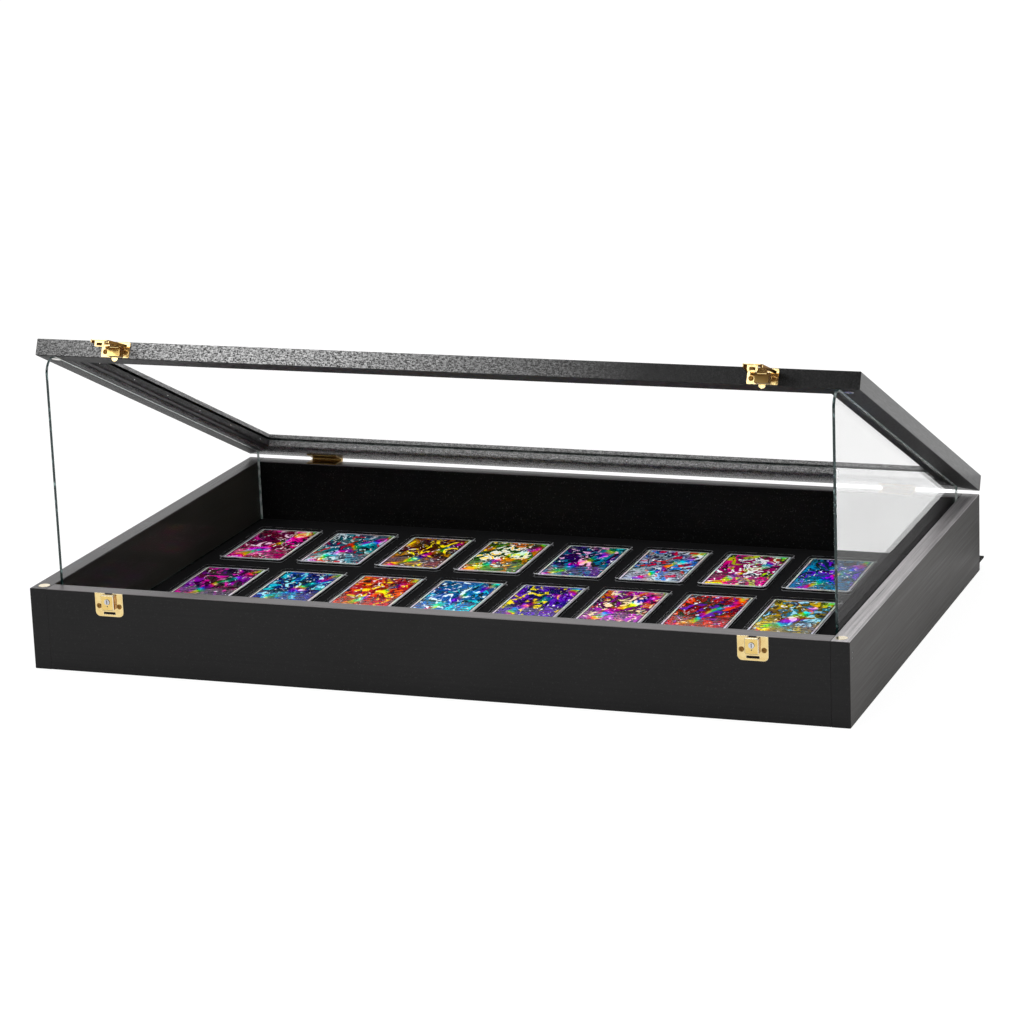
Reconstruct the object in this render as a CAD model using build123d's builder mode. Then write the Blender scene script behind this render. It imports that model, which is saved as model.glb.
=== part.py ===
from build123d import *

import os
from math import asin, cos, pi, radians, sin, tan

# Trading card display case: a shallow black wooden tray with a glazed lid that leans
# on two loose glass side panels, so the cards on the deck can be seen from the front.
# Millimetres, +Z up, +Y towards the back. The origin is the bottom centre of the
# whole case, key plugs and rear lip included.

# ---- tray ---------------------------------------------------------------
case_width = 864.0            # outside, left to right
case_depth = 559.0            # outside, front face to back face
tray_height = 86.0
wall = 19.0                   # thickness of the four tray boards
arris = 0.6                   # bevel of the boards' long edges
bottom_height = 9.0           # underside of the bottom panel above the table
bottom_thickness = 3.0
groove_depth = 6.0            # how far the bottom panel is let into the boards
groove_play = 0.2             # groove height over the panel's thickness
panel_play = 0.5              # free edge of the bottom panel in its groove
deck_board_thickness = 5.0
deck_fabric_thickness = 1.0
deck_play = 0.4               # edge of the deck to the boards
lip_reach = 20.0              # rear lip, out from the back face
lip_thickness = 2.0
lip_tongue = 5.0              # rear lip, let into the back of the tray
lip_play = 0.1
corner_pin_side = 1.4         # square nails
corner_pin_length = 36.0
corner_pin_sink = 0.5         # head set below the board's face
corner_pin_inset = 11.0       # from the tray's front or back face
corner_pin_drops = (13.3, 18.7)   # below the rim
pin_hole_play = 0.05

# ---- lid ----------------------------------------------------------------
lid_thickness = 17.5
rail_face = 28.0              # width of a rail's underside, outside the glazing bead
glass_ledge = 12.0            # lip over the glass, inwards from the rail's face
lip_depth = 4.0               # thickness of that lip
lid_glass_thickness = 3.0
lid_glass_play = 0.8          # glass edge to the rail
bead_recess = 3.0             # bead's face above the lid's underside
bead_play = 0.1
bead_rounding = 2.5
bead_pin_side = 1.1           # square brads
bead_pin_length = 20.0
bead_pin_proud = 0.3
bead_pin_pitch = 80.0         # target spacing along a bead
bead_pin_first = 66.0         # first pin from the lid's outer corner
lid_rest_angle = 24.26        # leaning on the side panels
lid_open_angle = 95.0         # as far as the hinges let it go

# ---- magnets ------------------------------------------------------------
strike_radius = 6.0
strike_thickness = 1.6
strike_proud = 0.2
strike_from_side = 11.0
strike_from_front = 12.0
magnet_radius = 5.0
magnet_thickness = 2.5
magnet_from_side = 15.0
magnet_from_front = 18.0
disc_play = 0.05

# ---- butt hinges --------------------------------------------------------
hinge_length = 36.5
hinge_from_left = 97.0        # left hinge centre from the left side
hinge_from_right = 90.0       # right hinge centre from the right side
leaf_width = 17.0
leaf_thickness = 1.0
leaf_gap = 0.2                # between the leaves of a shut hinge
knuckle_radius = 2.4
knuckle_count = 3
knuckle_play = 0.2            # end play between neighbouring knuckles
hinge_stand_off = 3.0         # pin axis behind the tray's back face
hinge_pin_radius = 1.1
hinge_screw_spacing = 20.0
running_fit = 0.05            # radial clearance of a turning pin
driven_fit = 0.02             # radial clearance of a pin that stays put

# ---- screws -------------------------------------------------------------
screw_radius = 1.2
screw_length = 12.0
screw_head_radius = 2.7
screw_cone = 1.0              # height of the countersunk part
screw_dome = 0.8              # height of the head over its plate
screw_top_radius = 1.9        # flat on top of the head
screw_play = 0.05
screw_sides = 12              # flats round a screw, which keep this small piece light

# ---- locks on the tray --------------------------------------------------
lock_from_left = 90.0
lock_from_right = 95.0
plate_width = 31.0
plate_thickness = 1.0
plate_screw_spacing = 22.6
lock_plate_height = 24.5
lock_plate_rounding = 5.0
lock_screw_drop = 13.5        # below the rim
notch_width = 8.0             # in the plate's top edge, for the catch's tongue
notch_depth = 2.2
case_box_width = 14.0         # raised housing over the lock
case_box_top = 1.0            # below the rim
case_box_height = 16.0
case_box_reach = 5.4          # out from the tray's face
case_box_wall = 0.8
case_box_corner = 0.9         # bevel of the four upright edges
case_box_edge = 0.6           # bevel round the housing's front
dimple_radius = 0.6           # small hole under the key plug
dimple_sides = 8
dimple_drop = 12.6
plug_drop = 8.0               # key plug's axis below the rim
plug_radius = 2.9
plug_reach = 6.0              # front of the plug, out from the tray's face
plug_flange_radius = 3.8      # to the corners
plug_flange_sides = 8
plug_flange_thickness = 1.4
plug_end_play = 0.1
plug_turn = 180.0             # key turn from open to locked, degrees
keyway_width = 0.8
keyway_height = 4.0
keyway_depth = 1.5
cam_offset = 2.6              # crank pin's distance from the plug's axis
cam_radius = 0.7
cam_gap = 0.3                 # crank pin's end over the plate's outer face
cam_side_play = 0.1
bolt_width = 11.2
bolt_thickness = 1.7
bolt_gap = 0.2                # bolt over the plate's outer face
bolt_margin = 1.75            # metal above and below the bolt's slot
bolt_tongue_width = 5.0
bolt_tongue_play = 0.2        # tongue in the housing's bottom wall
bolt_tip_gap = 0.1            # drawn-back tongue above the housing's lower face
eye_slot_width = 13.0         # slot in the plate for the hasp's eye
eye_slot_height = 2.5
eye_slot_margin = 2.3         # metal under that slot
eye_pocket_depth = 3.0        # pocket in the wood behind the slot

# ---- catches and hasps on the lid --------------------------------------
catch_plate_height = 15.9
catch_plate_bottom = 0.8      # above the lid's underside
catch_plate_corner = 0.6
catch_screw_height = 6.4
catch_box_bottom = 1.6
catch_box_reach = 5.5         # out from the lid's front face
tongue_width = 7.0
tongue_drop = 3.2             # below the lid's underside
hasp_pin_radius = 0.8
hasp_pin_height = 11.2        # above the lid's underside
hasp_pin_reach = 4.2          # out from the lid's front face
hasp_knuckle_radius = 1.6
hasp_knuckle_width = 9.6
hasp_knuckle_play = 0.15
hasp_thickness = 0.8
hasp_offset = 1.5             # pin axis to the strap's inner face
hasp_neck = 1.7               # strap widens this far from the pin axis
hasp_base_width = 29.0
hasp_end_width = 19.5
hasp_lip = 2.0                # strap beyond the eye
hasp_corner = 2.0
hasp_skirt = 2.2              # depth of the folded side edges
hasp_window_radius = 4.0      # opening round the key plug
eye_width = 10.5
eye_depth = 6.0
eye_thickness = 1.0
eye_hole_width = 6.2
eye_hole_height = 3.0
eye_rounding = 1.5
hasp_rest_left = -4.0         # degrees above square to the lid's front
hasp_rest_right = -1.0

# ---- side panels --------------------------------------------------------
side_glass_thickness = 3.0
side_glass_wall_gap = 0.3     # to the tray's inner face
side_glass_front = 32.0       # front edge behind the tray's front face
side_glass_back = 22.0        # rear edge before the tray's back face
side_glass_lid_gap = 0.3
side_glass_front_corner = 15.0
side_glass_back_corner = 4.0

# ---- cards --------------------------------------------------------------
card_columns = 8
row_names = ("front", "middle", "back")
cards_side_room = 102.7        # free deck beside the array, left and right together
cards_end_room = 74.0         # free deck before and behind the array together
holder_width = 76.5
holder_length = 127.0
holder_thickness = 4.5
holder_corner = 2.2           # bevel at each corner
holder_rim = 3.75             # card's edge to the holder's edge, on all four sides
card_thickness = 0.5
card_corner = 2.0             # bevel at each corner
sleeve_play = 0.5             # card to the sides of its slot
sleeve_height_play = 0.2
cards_off_centre = -25.0      # middle of the cards, right of the tray's middle
cards_from_back = 62.0        # far edge of the back row before the tray's back face
cards_turn = 1.0              # the whole array lies a little turned, degrees

# ---- worked out from the sizes above ------------------------------------
half_width = case_width / 2
tray_centre_y = (plug_reach - lip_reach) / 2
front_y = tray_centre_y - case_depth / 2
back_y = tray_centre_y + case_depth / 2
inner_width = case_width - 2 * wall
inner_depth = case_depth - 2 * wall
row_count = len(row_names)
column_pitch = (inner_width - cards_side_room - holder_width) / (card_columns - 1)
row_pitch = (inner_depth - cards_end_room - holder_length) / (row_count - 1)
card_width = holder_width - 2 * holder_rim
card_length = holder_length - 2 * holder_rim
deck_bottom = bottom_height + bottom_thickness
deck_top = deck_bottom + deck_board_thickness + deck_fabric_thickness

hinge_rise = leaf_thickness + leaf_gap / 2     # pin axis over the rim
axis_y = back_y + hinge_stand_off
axis_z = tray_height + hinge_rise
shut_gap = 2 * hinge_rise                      # lid over the rim when shut

lean_cos = cos(radians(lid_rest_angle))
lean_sin = sin(radians(lid_rest_angle))
lid_y = axis_y - hinge_stand_off * lean_cos + hinge_rise * lean_sin
lid_z = axis_z + hinge_stand_off * lean_sin + hinge_rise * lean_cos
# The lid's own axes: x to the right, y along the lid towards its back edge, z out of
# its top face, from the middle of the underside's back edge.
lid_plane = Plane(origin=(0, lid_y, lid_z), x_dir=(1, 0, 0), z_dir=(0, lean_sin, lean_cos))

glass_top = lid_thickness - lip_depth
glass_bottom = glass_top - lid_glass_thickness

lock_centres = {"left": lock_from_left - half_width, "right": half_width - lock_from_right}
hinge_centres = {"left": hinge_from_left - half_width, "right": half_width - hinge_from_right}
hasp_rests = {"left": hasp_rest_left, "right": hasp_rest_right}
sides = ("left", "right")

bolt_travel = cam_offset * (1 - cos(radians(plug_turn)))
# A crank does not move its slot evenly, and the slot's extra height takes that up.
even_share = asin(2 / pi)
crank_slack = cam_offset * (cos(even_share) - (1 - 2 * even_share / pi))
bolt_slot_height = 2 * (cam_radius + crank_slack + cam_side_play)
bolt_slot_width = 2 * (cam_offset + cam_radius + 2 * cam_side_play)
bolt_top = -plug_drop + cam_offset + bolt_slot_height / 2 + bolt_margin
bolt_bottom = bolt_top - bolt_slot_height - 2 * bolt_margin
case_box_bottom = -case_box_top - case_box_height
eye_slot_bottom = -lock_plate_height + eye_slot_margin
eye_slot_centre = eye_slot_bottom + eye_slot_height / 2
eye_distance = hasp_pin_height + shut_gap - eye_slot_centre   # pin axis to the eye
window_distance = hasp_pin_height + shut_gap + plug_drop      # pin axis to the plug
hasp_length = eye_distance + hasp_lip

os.makedirs("parts", exist_ok=True)


def save(piece, name):
    """Label a finished piece and write its STEP file."""
    piece.part.label = name
    export_step(piece.part, f"parts/{name}.step")


def lid_direction(x, y, z):
    """A direction given in the lid's own axes."""
    return lid_plane.x_dir * x + lid_plane.y_dir * y + lid_plane.z_dir * z


def lid_point(x, y, z):
    """A point given in the lid's own axes."""
    return lid_plane.origin + lid_direction(x, y, z)


def tray_face(x):
    """Plane on the tray's front at the rim: y up, z out of the face."""
    return Plane(origin=(x, front_y, tray_height), x_dir=(1, 0, 0), z_dir=(0, -1, 0))


def lid_face(x):
    """Plane on the lid's front at its underside: y up the face, z out of it."""
    return Plane(
        origin=lid_point(x, -case_depth, 0), x_dir=(1, 0, 0), z_dir=lid_direction(0, -1, 0)
    )


def across(plane, shift=0.0):
    """Section plane square to the plane's x: its x is the plane's z, its y stays."""
    return Plane(
        origin=plane.origin + plane.x_dir * shift, x_dir=plane.z_dir, z_dir=plane.x_dir * -1
    )


def places(plane, points):
    """Locations at flat points of a plane, each with the plane's axes."""
    return [plane.location * Location((x, y, 0)) for x, y in points]


# ---- places of the screws -----------------------------------------------
def plate_screws(plane, height):
    """Two screws, left and right of a lock or catch."""
    half = plate_screw_spacing / 2
    return places(plane, [(-half, height), (half, height)])


def hinge_screws(plane):
    """Two screws through one hinge leaf, in a plane whose y points to the hinge's back."""
    half = hinge_screw_spacing / 2
    return places(plane, [(-half, -leaf_width / 2), (half, -leaf_width / 2)])


def tray_leaf_plane(x):
    """On the rim at a hinge, z up."""
    return Plane(origin=(x, back_y, tray_height), x_dir=(1, 0, 0), z_dir=(0, 0, 1))


def lid_leaf_plane(x):
    """On the lid's underside at a hinge, z out of the underside."""
    return Plane(
        origin=lid_point(x, 0, 0), x_dir=(-1, 0, 0), z_dir=lid_plane.z_dir * -1
    )


lock_screw_places = [
    place for side in sides for place in plate_screws(tray_face(lock_centres[side]), -lock_screw_drop)
]
catch_screw_places = [
    place for side in sides for place in plate_screws(lid_face(lock_centres[side]), catch_screw_height)
]
tray_hinge_screw_places = [
    place for side in sides for place in hinge_screws(tray_leaf_plane(hinge_centres[side]))
]
lid_hinge_screw_places = [
    place for side in sides for place in hinge_screws(lid_leaf_plane(hinge_centres[side]))
]


def pilot_holes(locations, plate):
    """Cut the holes of the screws that come through a plate of this thickness."""
    for place in locations:
        with BuildSketch(Plane(place)) as mouth:
            RegularPolygon(screw_radius + screw_play, screw_sides)
        extrude(mouth.sketch, amount=plate - screw_length - screw_play, mode=Mode.SUBTRACT)


def square_holes(locations, side, depth, lead=0.0):
    """Cut square nails' holes to a depth under their heads, and a lead above them."""
    with Locations(*locations):
        with Locations((0, 0, lead)):
            Box(
                side + 2 * pin_hole_play,
                side + 2 * pin_hole_play,
                lead + depth + pin_hole_play,
                align=(Align.CENTER, Align.CENTER, Align.MAX),
                mode=Mode.SUBTRACT,
            )


def square_nails(locations, side, length):
    """Add square nails whose heads lie at the locations."""
    with Locations(*locations):
        Box(side, side, length, align=(Align.CENTER, Align.CENTER, Align.MAX))


# ---- tray boards --------------------------------------------------------
def bottom_groove():
    """Cut the groove that takes the bottom panel all round the tray's inside."""
    with Locations((0, tray_centre_y, bottom_height)):
        Box(
            inner_width + 2 * groove_depth,
            inner_depth + 2 * groove_depth,
            bottom_thickness + groove_play,
            align=(Align.CENTER, Align.CENTER, Align.MIN),
            mode=Mode.SUBTRACT,
        )


def lip_groove():
    """Cut the groove in the tray's back for the rear lip."""
    with Locations((0, back_y, bottom_height)):
        Box(
            case_width,
            2 * lip_tongue,
            lip_thickness + lip_play,
            align=(Align.CENTER, Align.CENTER, Align.MIN),
            mode=Mode.SUBTRACT,
        )


def corner_pin_places():
    """Pins through the side boards into the ends of the front and back boards."""
    for side_sign in (-1, 1):
        for y in (front_y + corner_pin_inset, back_y - corner_pin_inset):
            for drop in corner_pin_drops:
                yield Plane(
                    origin=(side_sign * (half_width - corner_pin_sink), y, tray_height - drop),
                    x_dir=(0, side_sign, 0),
                    z_dir=(side_sign, 0, 0),
                ).location


def corner_pin_holes():
    """Cut the nails' holes, from the outside in."""
    square_holes(corner_pin_places(), corner_pin_side, corner_pin_length, corner_pin_sink)


def strike_places():
    """Centres of the strike discs' faces if they lay level with the rim."""
    for side_sign in (-1, 1):
        yield Plane(
            origin=(
                side_sign * (half_width - strike_from_side), front_y + strike_from_front, tray_height
            )
        ).location


for side, side_sign in (("left", -1), ("right", 1)):
    with BuildPart() as side_board:
        with Locations((side_sign * (half_width - wall / 2), tray_centre_y, tray_height / 2)):
            Box(wall, case_depth, tray_height)
        outer_edges = side_board.faces().sort_by(Axis.X)[0 if side_sign < 0 else -1].edges()
        inner_top = side_board.edges().filter_by(Axis.Y).group_by(Axis.Z)[-1]
        inner_top = inner_top.sort_by(Axis.X)[-1 if side_sign < 0 else 0]
        chamfer(outer_edges + [inner_top], length=arris)
        bottom_groove()
        lip_groove()
        corner_pin_holes()
        with Locations(*strike_places()):
            Hole(strike_radius + disc_play, depth=strike_thickness - strike_proud)
    save(side_board, f"tray_{side}_wall")

with BuildPart() as front_board:
    with Locations((0, front_y + wall / 2, tray_height / 2)):
        Box(inner_width, wall, tray_height)
    outer_edges = front_board.faces().sort_by(Axis.Y)[0].edges().filter_by(Axis.X)
    inner_top = front_board.edges().filter_by(Axis.X).group_by(Axis.Z)[-1].sort_by(Axis.Y)[-1]
    chamfer(outer_edges + [inner_top], length=arris)
    bottom_groove()
    corner_pin_holes()
    pilot_holes(lock_screw_places, plate_thickness)
    for side in sides:
        with BuildSketch(tray_face(lock_centres[side])):
            with Locations((0, eye_slot_centre)):
                Rectangle(eye_slot_width, eye_slot_height)
        extrude(amount=-eye_pocket_depth, mode=Mode.SUBTRACT)
save(front_board, "tray_front_wall")

with BuildPart() as back_board:
    with Locations((0, back_y - wall / 2, tray_height / 2)):
        Box(inner_width, wall, tray_height)
    outer_edges = back_board.faces().sort_by(Axis.Y)[-1].edges().filter_by(Axis.X)
    inner_top = back_board.edges().filter_by(Axis.X).group_by(Axis.Z)[-1].sort_by(Axis.Y)[0]
    chamfer(outer_edges + [inner_top], length=arris)
    bottom_groove()
    lip_groove()
    corner_pin_holes()
    pilot_holes(tray_hinge_screw_places, leaf_thickness)
save(back_board, "tray_back_wall")

with BuildPart() as bottom_panel:
    with Locations((0, tray_centre_y, bottom_height)):
        Box(
            inner_width + 2 * (groove_depth - panel_play),
            inner_depth + 2 * (groove_depth - panel_play),
            bottom_thickness,
            align=(Align.CENTER, Align.CENTER, Align.MIN),
        )
save(bottom_panel, "tray_bottom_panel")


def deck_sheet(name, height, thickness):
    """One layer of the deck, lying inside the boards."""
    with BuildPart() as sheet:
        with BuildSketch(Plane.XY.offset(height)):
            with Locations((0, tray_centre_y)):
                Rectangle(inner_width - 2 * deck_play, inner_depth - 2 * deck_play)
        extrude(amount=thickness)
    save(sheet, name)


deck_sheet("deck_board", deck_bottom, deck_board_thickness)
deck_sheet("deck_fabric", deck_bottom + deck_board_thickness, deck_fabric_thickness)

with BuildPart() as rear_lip:
    with Locations((0, back_y - lip_tongue, bottom_height)):
        Box(
            case_width,
            lip_tongue + lip_reach,
            lip_thickness,
            align=(Align.CENTER, Align.MIN, Align.MIN),
        )
save(rear_lip, "rear_lip")

with BuildPart() as corner_pins:
    square_nails(corner_pin_places(), corner_pin_side, corner_pin_length)
save(corner_pins, "corner_pins")

with BuildPart() as strike_discs:
    with Locations(*strike_places()):
        with Locations((0, 0, strike_proud)):
            Cylinder(
                strike_radius, strike_thickness, align=(Align.CENTER, Align.CENTER, Align.MAX)
            )
save(strike_discs, "rim_strike_discs")


# ---- lid ----------------------------------------------------------------
# The lid's four sides, walked round so that the inside is always on the left.
lid_sides = {
    "front": ((-half_width, -case_depth), (1, 0), (0, 1), case_width),
    "right": ((half_width, -case_depth), (0, 1), (-1, 0), case_depth),
    "back": ((half_width, 0), (-1, 0), (0, -1), case_width),
    "left": ((-half_width, 0), (0, -1), (1, 0), case_depth),
}


def side_axes(side):
    """Corner, run and inward direction of one lid side."""
    corner, run, inward, length = lid_sides[side]
    return lid_point(*corner, 0), lid_direction(*run, 0), lid_direction(*inward, 0), length


def mitre_both_ends(side):
    """Cut a strip that runs the lid side's full length to its two mitres."""
    corner, run, inward, length = side_axes(side)
    split(bisect_by=Plane(origin=corner, z_dir=run - inward), keep=Keep.TOP)
    far_corner = corner + run * length
    split(bisect_by=Plane(origin=far_corner, z_dir=run * -1 - inward), keep=Keep.TOP)


def bead_pin_places(side):
    """Pin heads along the bead's inner face, z pointing at the middle of the lid."""
    corner, run, inward, length = side_axes(side)
    gaps = round((length - 2 * bead_pin_first) / bead_pin_pitch)
    step = (length - 2 * bead_pin_first) / gaps
    height = lid_plane.z_dir * ((bead_recess + glass_bottom) / 2)
    reach = inward * (rail_face + glass_ledge + bead_pin_proud)
    for number in range(gaps + 1):
        yield Plane(
            origin=corner + run * (bead_pin_first + number * step) + reach + height,
            x_dir=run,
            z_dir=inward,
        ).location


def bead_pin_holes(side):
    """Cut the holes of one side's bead pins."""
    square_holes(bead_pin_places(side), bead_pin_side, bead_pin_length)


magnet_places = places(
    Plane(origin=lid_point(0, -case_depth, 0), x_dir=(-1, 0, 0), z_dir=lid_plane.z_dir * -1),
    [(sign * (half_width - magnet_from_side), magnet_from_front) for sign in (-1, 1)],
)

for side in lid_sides:
    corner, run, inward, length = side_axes(side)
    with BuildPart() as rail:
        with BuildSketch(Plane(origin=corner, x_dir=inward, z_dir=run)):
            with BuildLine():
                Polyline(
                    (0, 0),
                    (rail_face, 0),
                    (rail_face, glass_top),
                    (rail_face + glass_ledge, glass_top),
                    (rail_face + glass_ledge, lid_thickness),
                    (0, lid_thickness),
                    close=True,
                )
            make_face()
            outer_corners = vertices().group_by(Axis.X)[0]
            chamfer(outer_corners, length=arris)
        extrude(amount=length)
        mitre_both_ends(side)
        bead_pin_holes(side)
        with Locations(*magnet_places):
            Hole(magnet_radius + disc_play, depth=magnet_thickness)
        if side == "front":
            pilot_holes(catch_screw_places, plate_thickness)
        if side == "back":
            pilot_holes(lid_hinge_screw_places, leaf_thickness)
    save(rail, f"lid_{side}_rail")

    with BuildPart() as bead:
        with BuildSketch(Plane(origin=corner, x_dir=inward, z_dir=run)):
            with BuildLine():
                Polyline(
                    (rail_face + bead_play, bead_recess),
                    (rail_face + glass_ledge, bead_recess),
                    (rail_face + glass_ledge, glass_bottom),
                    (rail_face + bead_play, glass_bottom),
                    close=True,
                )
            make_face()
            inner_corner = vertices().group_by(Axis.X)[-1].sort_by(Axis.Y)[0]
            fillet(inner_corner, radius=bead_rounding)
        extrude(amount=length)
        mitre_both_ends(side)
        bead_pin_holes(side)
    save(bead, f"glazing_bead_{side}")

with BuildPart() as bead_pins:
    for side in lid_sides:
        square_nails(bead_pin_places(side), bead_pin_side, bead_pin_length)
save(bead_pins, "bead_pins")

glass_edge = rail_face + lid_glass_play
with BuildPart() as lid_glass:
    with BuildSketch(lid_plane.offset(glass_bottom)):
        with Locations((0, -case_depth / 2)):
            Rectangle(case_width - 2 * glass_edge, case_depth - 2 * glass_edge)
    extrude(amount=lid_glass_thickness)
save(lid_glass, "lid_glass")

with BuildPart() as magnets:
    with Locations(*magnet_places):
        Cylinder(magnet_radius, magnet_thickness, align=(Align.CENTER, Align.CENTER, Align.MAX))
save(magnets, "lid_magnets")


# ---- screws -------------------------------------------------------------
def screw_cone_from(face, radius, height, end_radius, mode=Mode.ADD):
    """A cone of flats on a face, narrowing to its end radius at the height."""
    mouth_corners = []
    end_corners = []
    for number in range(screw_sides):
        turn = 2 * pi * number / screw_sides
        across_x = cos(turn)
        across_y = sin(turn)
        mouth_corners.append(face.from_local_coords((radius * across_x, radius * across_y, 0)))
        end_corner = (end_radius * across_x, end_radius * across_y, height)
        end_corners.append(face.from_local_coords(end_corner))
    flats = [Face(Wire.make_polygon(mouth_corners)), Face(Wire.make_polygon(end_corners))]
    for number in range(screw_sides):
        flat_corners = [
            mouth_corners[number - 1],
            mouth_corners[number],
            end_corners[number],
            end_corners[number - 1],
        ]
        flats.append(Face(Wire.make_polygon(flat_corners)))
    cone = Solid(Shell(flats))
    add(cone.fix(), mode=mode)


def countersinks(locations, plate):
    """Cut the screws' seats in a plate; the locations are on the wood behind it."""
    for place in locations:
        outer_face = Plane(place).offset(plate)
        seat_radius = screw_head_radius + screw_play
        hole_radius = screw_radius + screw_play
        screw_cone_from(outer_face, seat_radius, -screw_cone, hole_radius, Mode.SUBTRACT)
        with BuildSketch(outer_face) as bore:
            RegularPolygon(hole_radius, screw_sides)
        extrude(bore.sketch, amount=-plate, mode=Mode.SUBTRACT)


def screw_group(name, locations, plate, dome):
    """Countersunk screws; each location is where a screw's axis meets the wood."""
    with BuildPart() as screws:
        for place in locations:
            face = Plane(place).offset(plate)
            screw_cone_from(face, screw_head_radius, -screw_cone, screw_radius)
            with BuildSketch(face.offset(-screw_cone)):
                RegularPolygon(screw_radius, screw_sides)
            extrude(amount=screw_cone - screw_length)
            if dome > 0:
                screw_cone_from(face, screw_head_radius, dome, screw_top_radius)
    save(screws, name)


screw_group("lock_screws", lock_screw_places, plate_thickness, screw_dome)
screw_group("catch_screws", catch_screw_places, plate_thickness, screw_dome)
screw_group("hinge_tray_screws", tray_hinge_screw_places, leaf_thickness, 0)
screw_group("hinge_lid_screws", lid_hinge_screw_places, leaf_thickness, 0)


# ---- butt hinges --------------------------------------------------------
def hinge_leaf(name, plane, own_knuckles, bore_radius):
    """One leaf with its share of the knuckles; the plane lies on the wood, y to the back."""
    pitch = hinge_length / knuckle_count
    web_start = hinge_stand_off - knuckle_radius - leaf_gap
    with BuildPart() as leaf:
        with BuildSketch(plane):
            with Locations((0, (web_start - leaf_width) / 2)):
                Rectangle(hinge_length, leaf_width + web_start)
        extrude(amount=leaf_thickness)
        for knuckle in own_knuckles:
            start = knuckle * pitch - hinge_length / 2 + knuckle_play / 2
            with BuildSketch(across(plane, start)):
                with Locations((leaf_thickness / 2, (web_start + hinge_stand_off) / 2)):
                    Rectangle(leaf_thickness, hinge_stand_off - web_start)
                with Locations((hinge_rise, hinge_stand_off)):
                    Circle(knuckle_radius)
                    Circle(bore_radius, mode=Mode.SUBTRACT)
            extrude(amount=knuckle_play - pitch)
        countersinks(hinge_screws(plane), leaf_thickness)
    save(leaf, name)


tray_knuckles = range(0, knuckle_count, 2)
lid_knuckles = range(1, knuckle_count, 2)
for side in sides:
    hinge_leaf(
        f"hinge_tray_leaf_{side}",
        tray_leaf_plane(hinge_centres[side]),
        tray_knuckles,
        hinge_pin_radius + driven_fit,
    )
    hinge_leaf(
        f"hinge_lid_leaf_{side}",
        lid_leaf_plane(hinge_centres[side]),
        lid_knuckles,
        hinge_pin_radius + running_fit,
    )

with BuildPart() as hinge_pins:
    with Locations(*[(x, axis_y, axis_z) for x in hinge_centres.values()]):
        Cylinder(hinge_pin_radius, hinge_length, rotation=(0, 90, 0))
save(hinge_pins, "hinge_pins")


# ---- locks on the tray --------------------------------------------------
def lock_plate(side):
    """Plate with its pressed-out housing, open at the back towards the wood."""
    face = tray_face(lock_centres[side])
    box_centre = (0, case_box_bottom + case_box_height / 2)
    with BuildPart() as plate:
        with BuildSketch(face):
            with Locations((0, -lock_plate_height / 2)):
                Rectangle(plate_width, lock_plate_height)
            lower_corners = vertices().group_by(Axis.Y)[0]
            fillet(lower_corners, radius=lock_plate_rounding)
            with Locations((0, -notch_depth / 2)):
                Rectangle(notch_width, notch_depth, mode=Mode.SUBTRACT)
        extrude(amount=plate_thickness)
        with BuildSketch(face.offset(plate_thickness)):
            with Locations(box_centre):
                Rectangle(case_box_width, case_box_height)
            chamfer(vertices(), length=case_box_corner)
        extrude(amount=case_box_reach - plate_thickness)
        chamfer(plate.faces().sort_by(Axis.Y)[0].edges(), length=case_box_edge)
        with BuildSketch(face):
            with Locations(box_centre):
                Rectangle(case_box_width - 2 * case_box_wall, case_box_height - 2 * case_box_wall)
            with Locations((0, eye_slot_centre)):
                Rectangle(eye_slot_width, eye_slot_height)
        extrude(amount=case_box_reach - case_box_wall, mode=Mode.SUBTRACT)
        with BuildSketch(face):
            with Locations((0, -plug_drop)):
                Circle(plug_radius + running_fit)
            with Locations((0, -dimple_drop)):
                RegularPolygon(dimple_radius, dimple_sides)
        extrude(amount=case_box_reach, mode=Mode.SUBTRACT)
        with BuildSketch(face.offset(plate_thickness + bolt_gap - bolt_tongue_play)):
            with Locations((0, case_box_bottom)):
                Rectangle(bolt_tongue_width + 2 * bolt_tongue_play, 2 * case_box_wall)
        extrude(amount=bolt_thickness + 2 * bolt_tongue_play, mode=Mode.SUBTRACT)
        countersinks(plate_screws(face, -lock_screw_drop), plate_thickness)
    save(plate, f"lock_plate_{side}")


def lock_plug(side):
    """Key plug: front with its keyway, flange behind the housing's wall, crank pin."""
    face = tray_face(lock_centres[side])
    flange_front = case_box_reach - case_box_wall - plug_end_play
    flange_back = flange_front - plug_flange_thickness
    with BuildPart() as plug:
        with BuildSketch(face.offset(flange_back)):
            with Locations((0, -plug_drop)):
                RegularPolygon(plug_flange_radius, plug_flange_sides)
        extrude(amount=plug_flange_thickness)
        with BuildSketch(face.offset(flange_front)):
            with Locations((0, -plug_drop)):
                Circle(plug_radius)
        extrude(amount=plug_reach - flange_front)
        with BuildSketch(face.offset(plug_reach)):
            with Locations((0, -plug_drop)):
                Rectangle(keyway_width, keyway_height)
        extrude(amount=-keyway_depth, mode=Mode.SUBTRACT)
        with BuildSketch(face.offset(plate_thickness + cam_gap)):
            with Locations((0, -plug_drop + cam_offset)):
                Circle(cam_radius)
        extrude(amount=flange_back - plate_thickness - cam_gap)
    save(plug, f"lock_plug_{side}")


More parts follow.
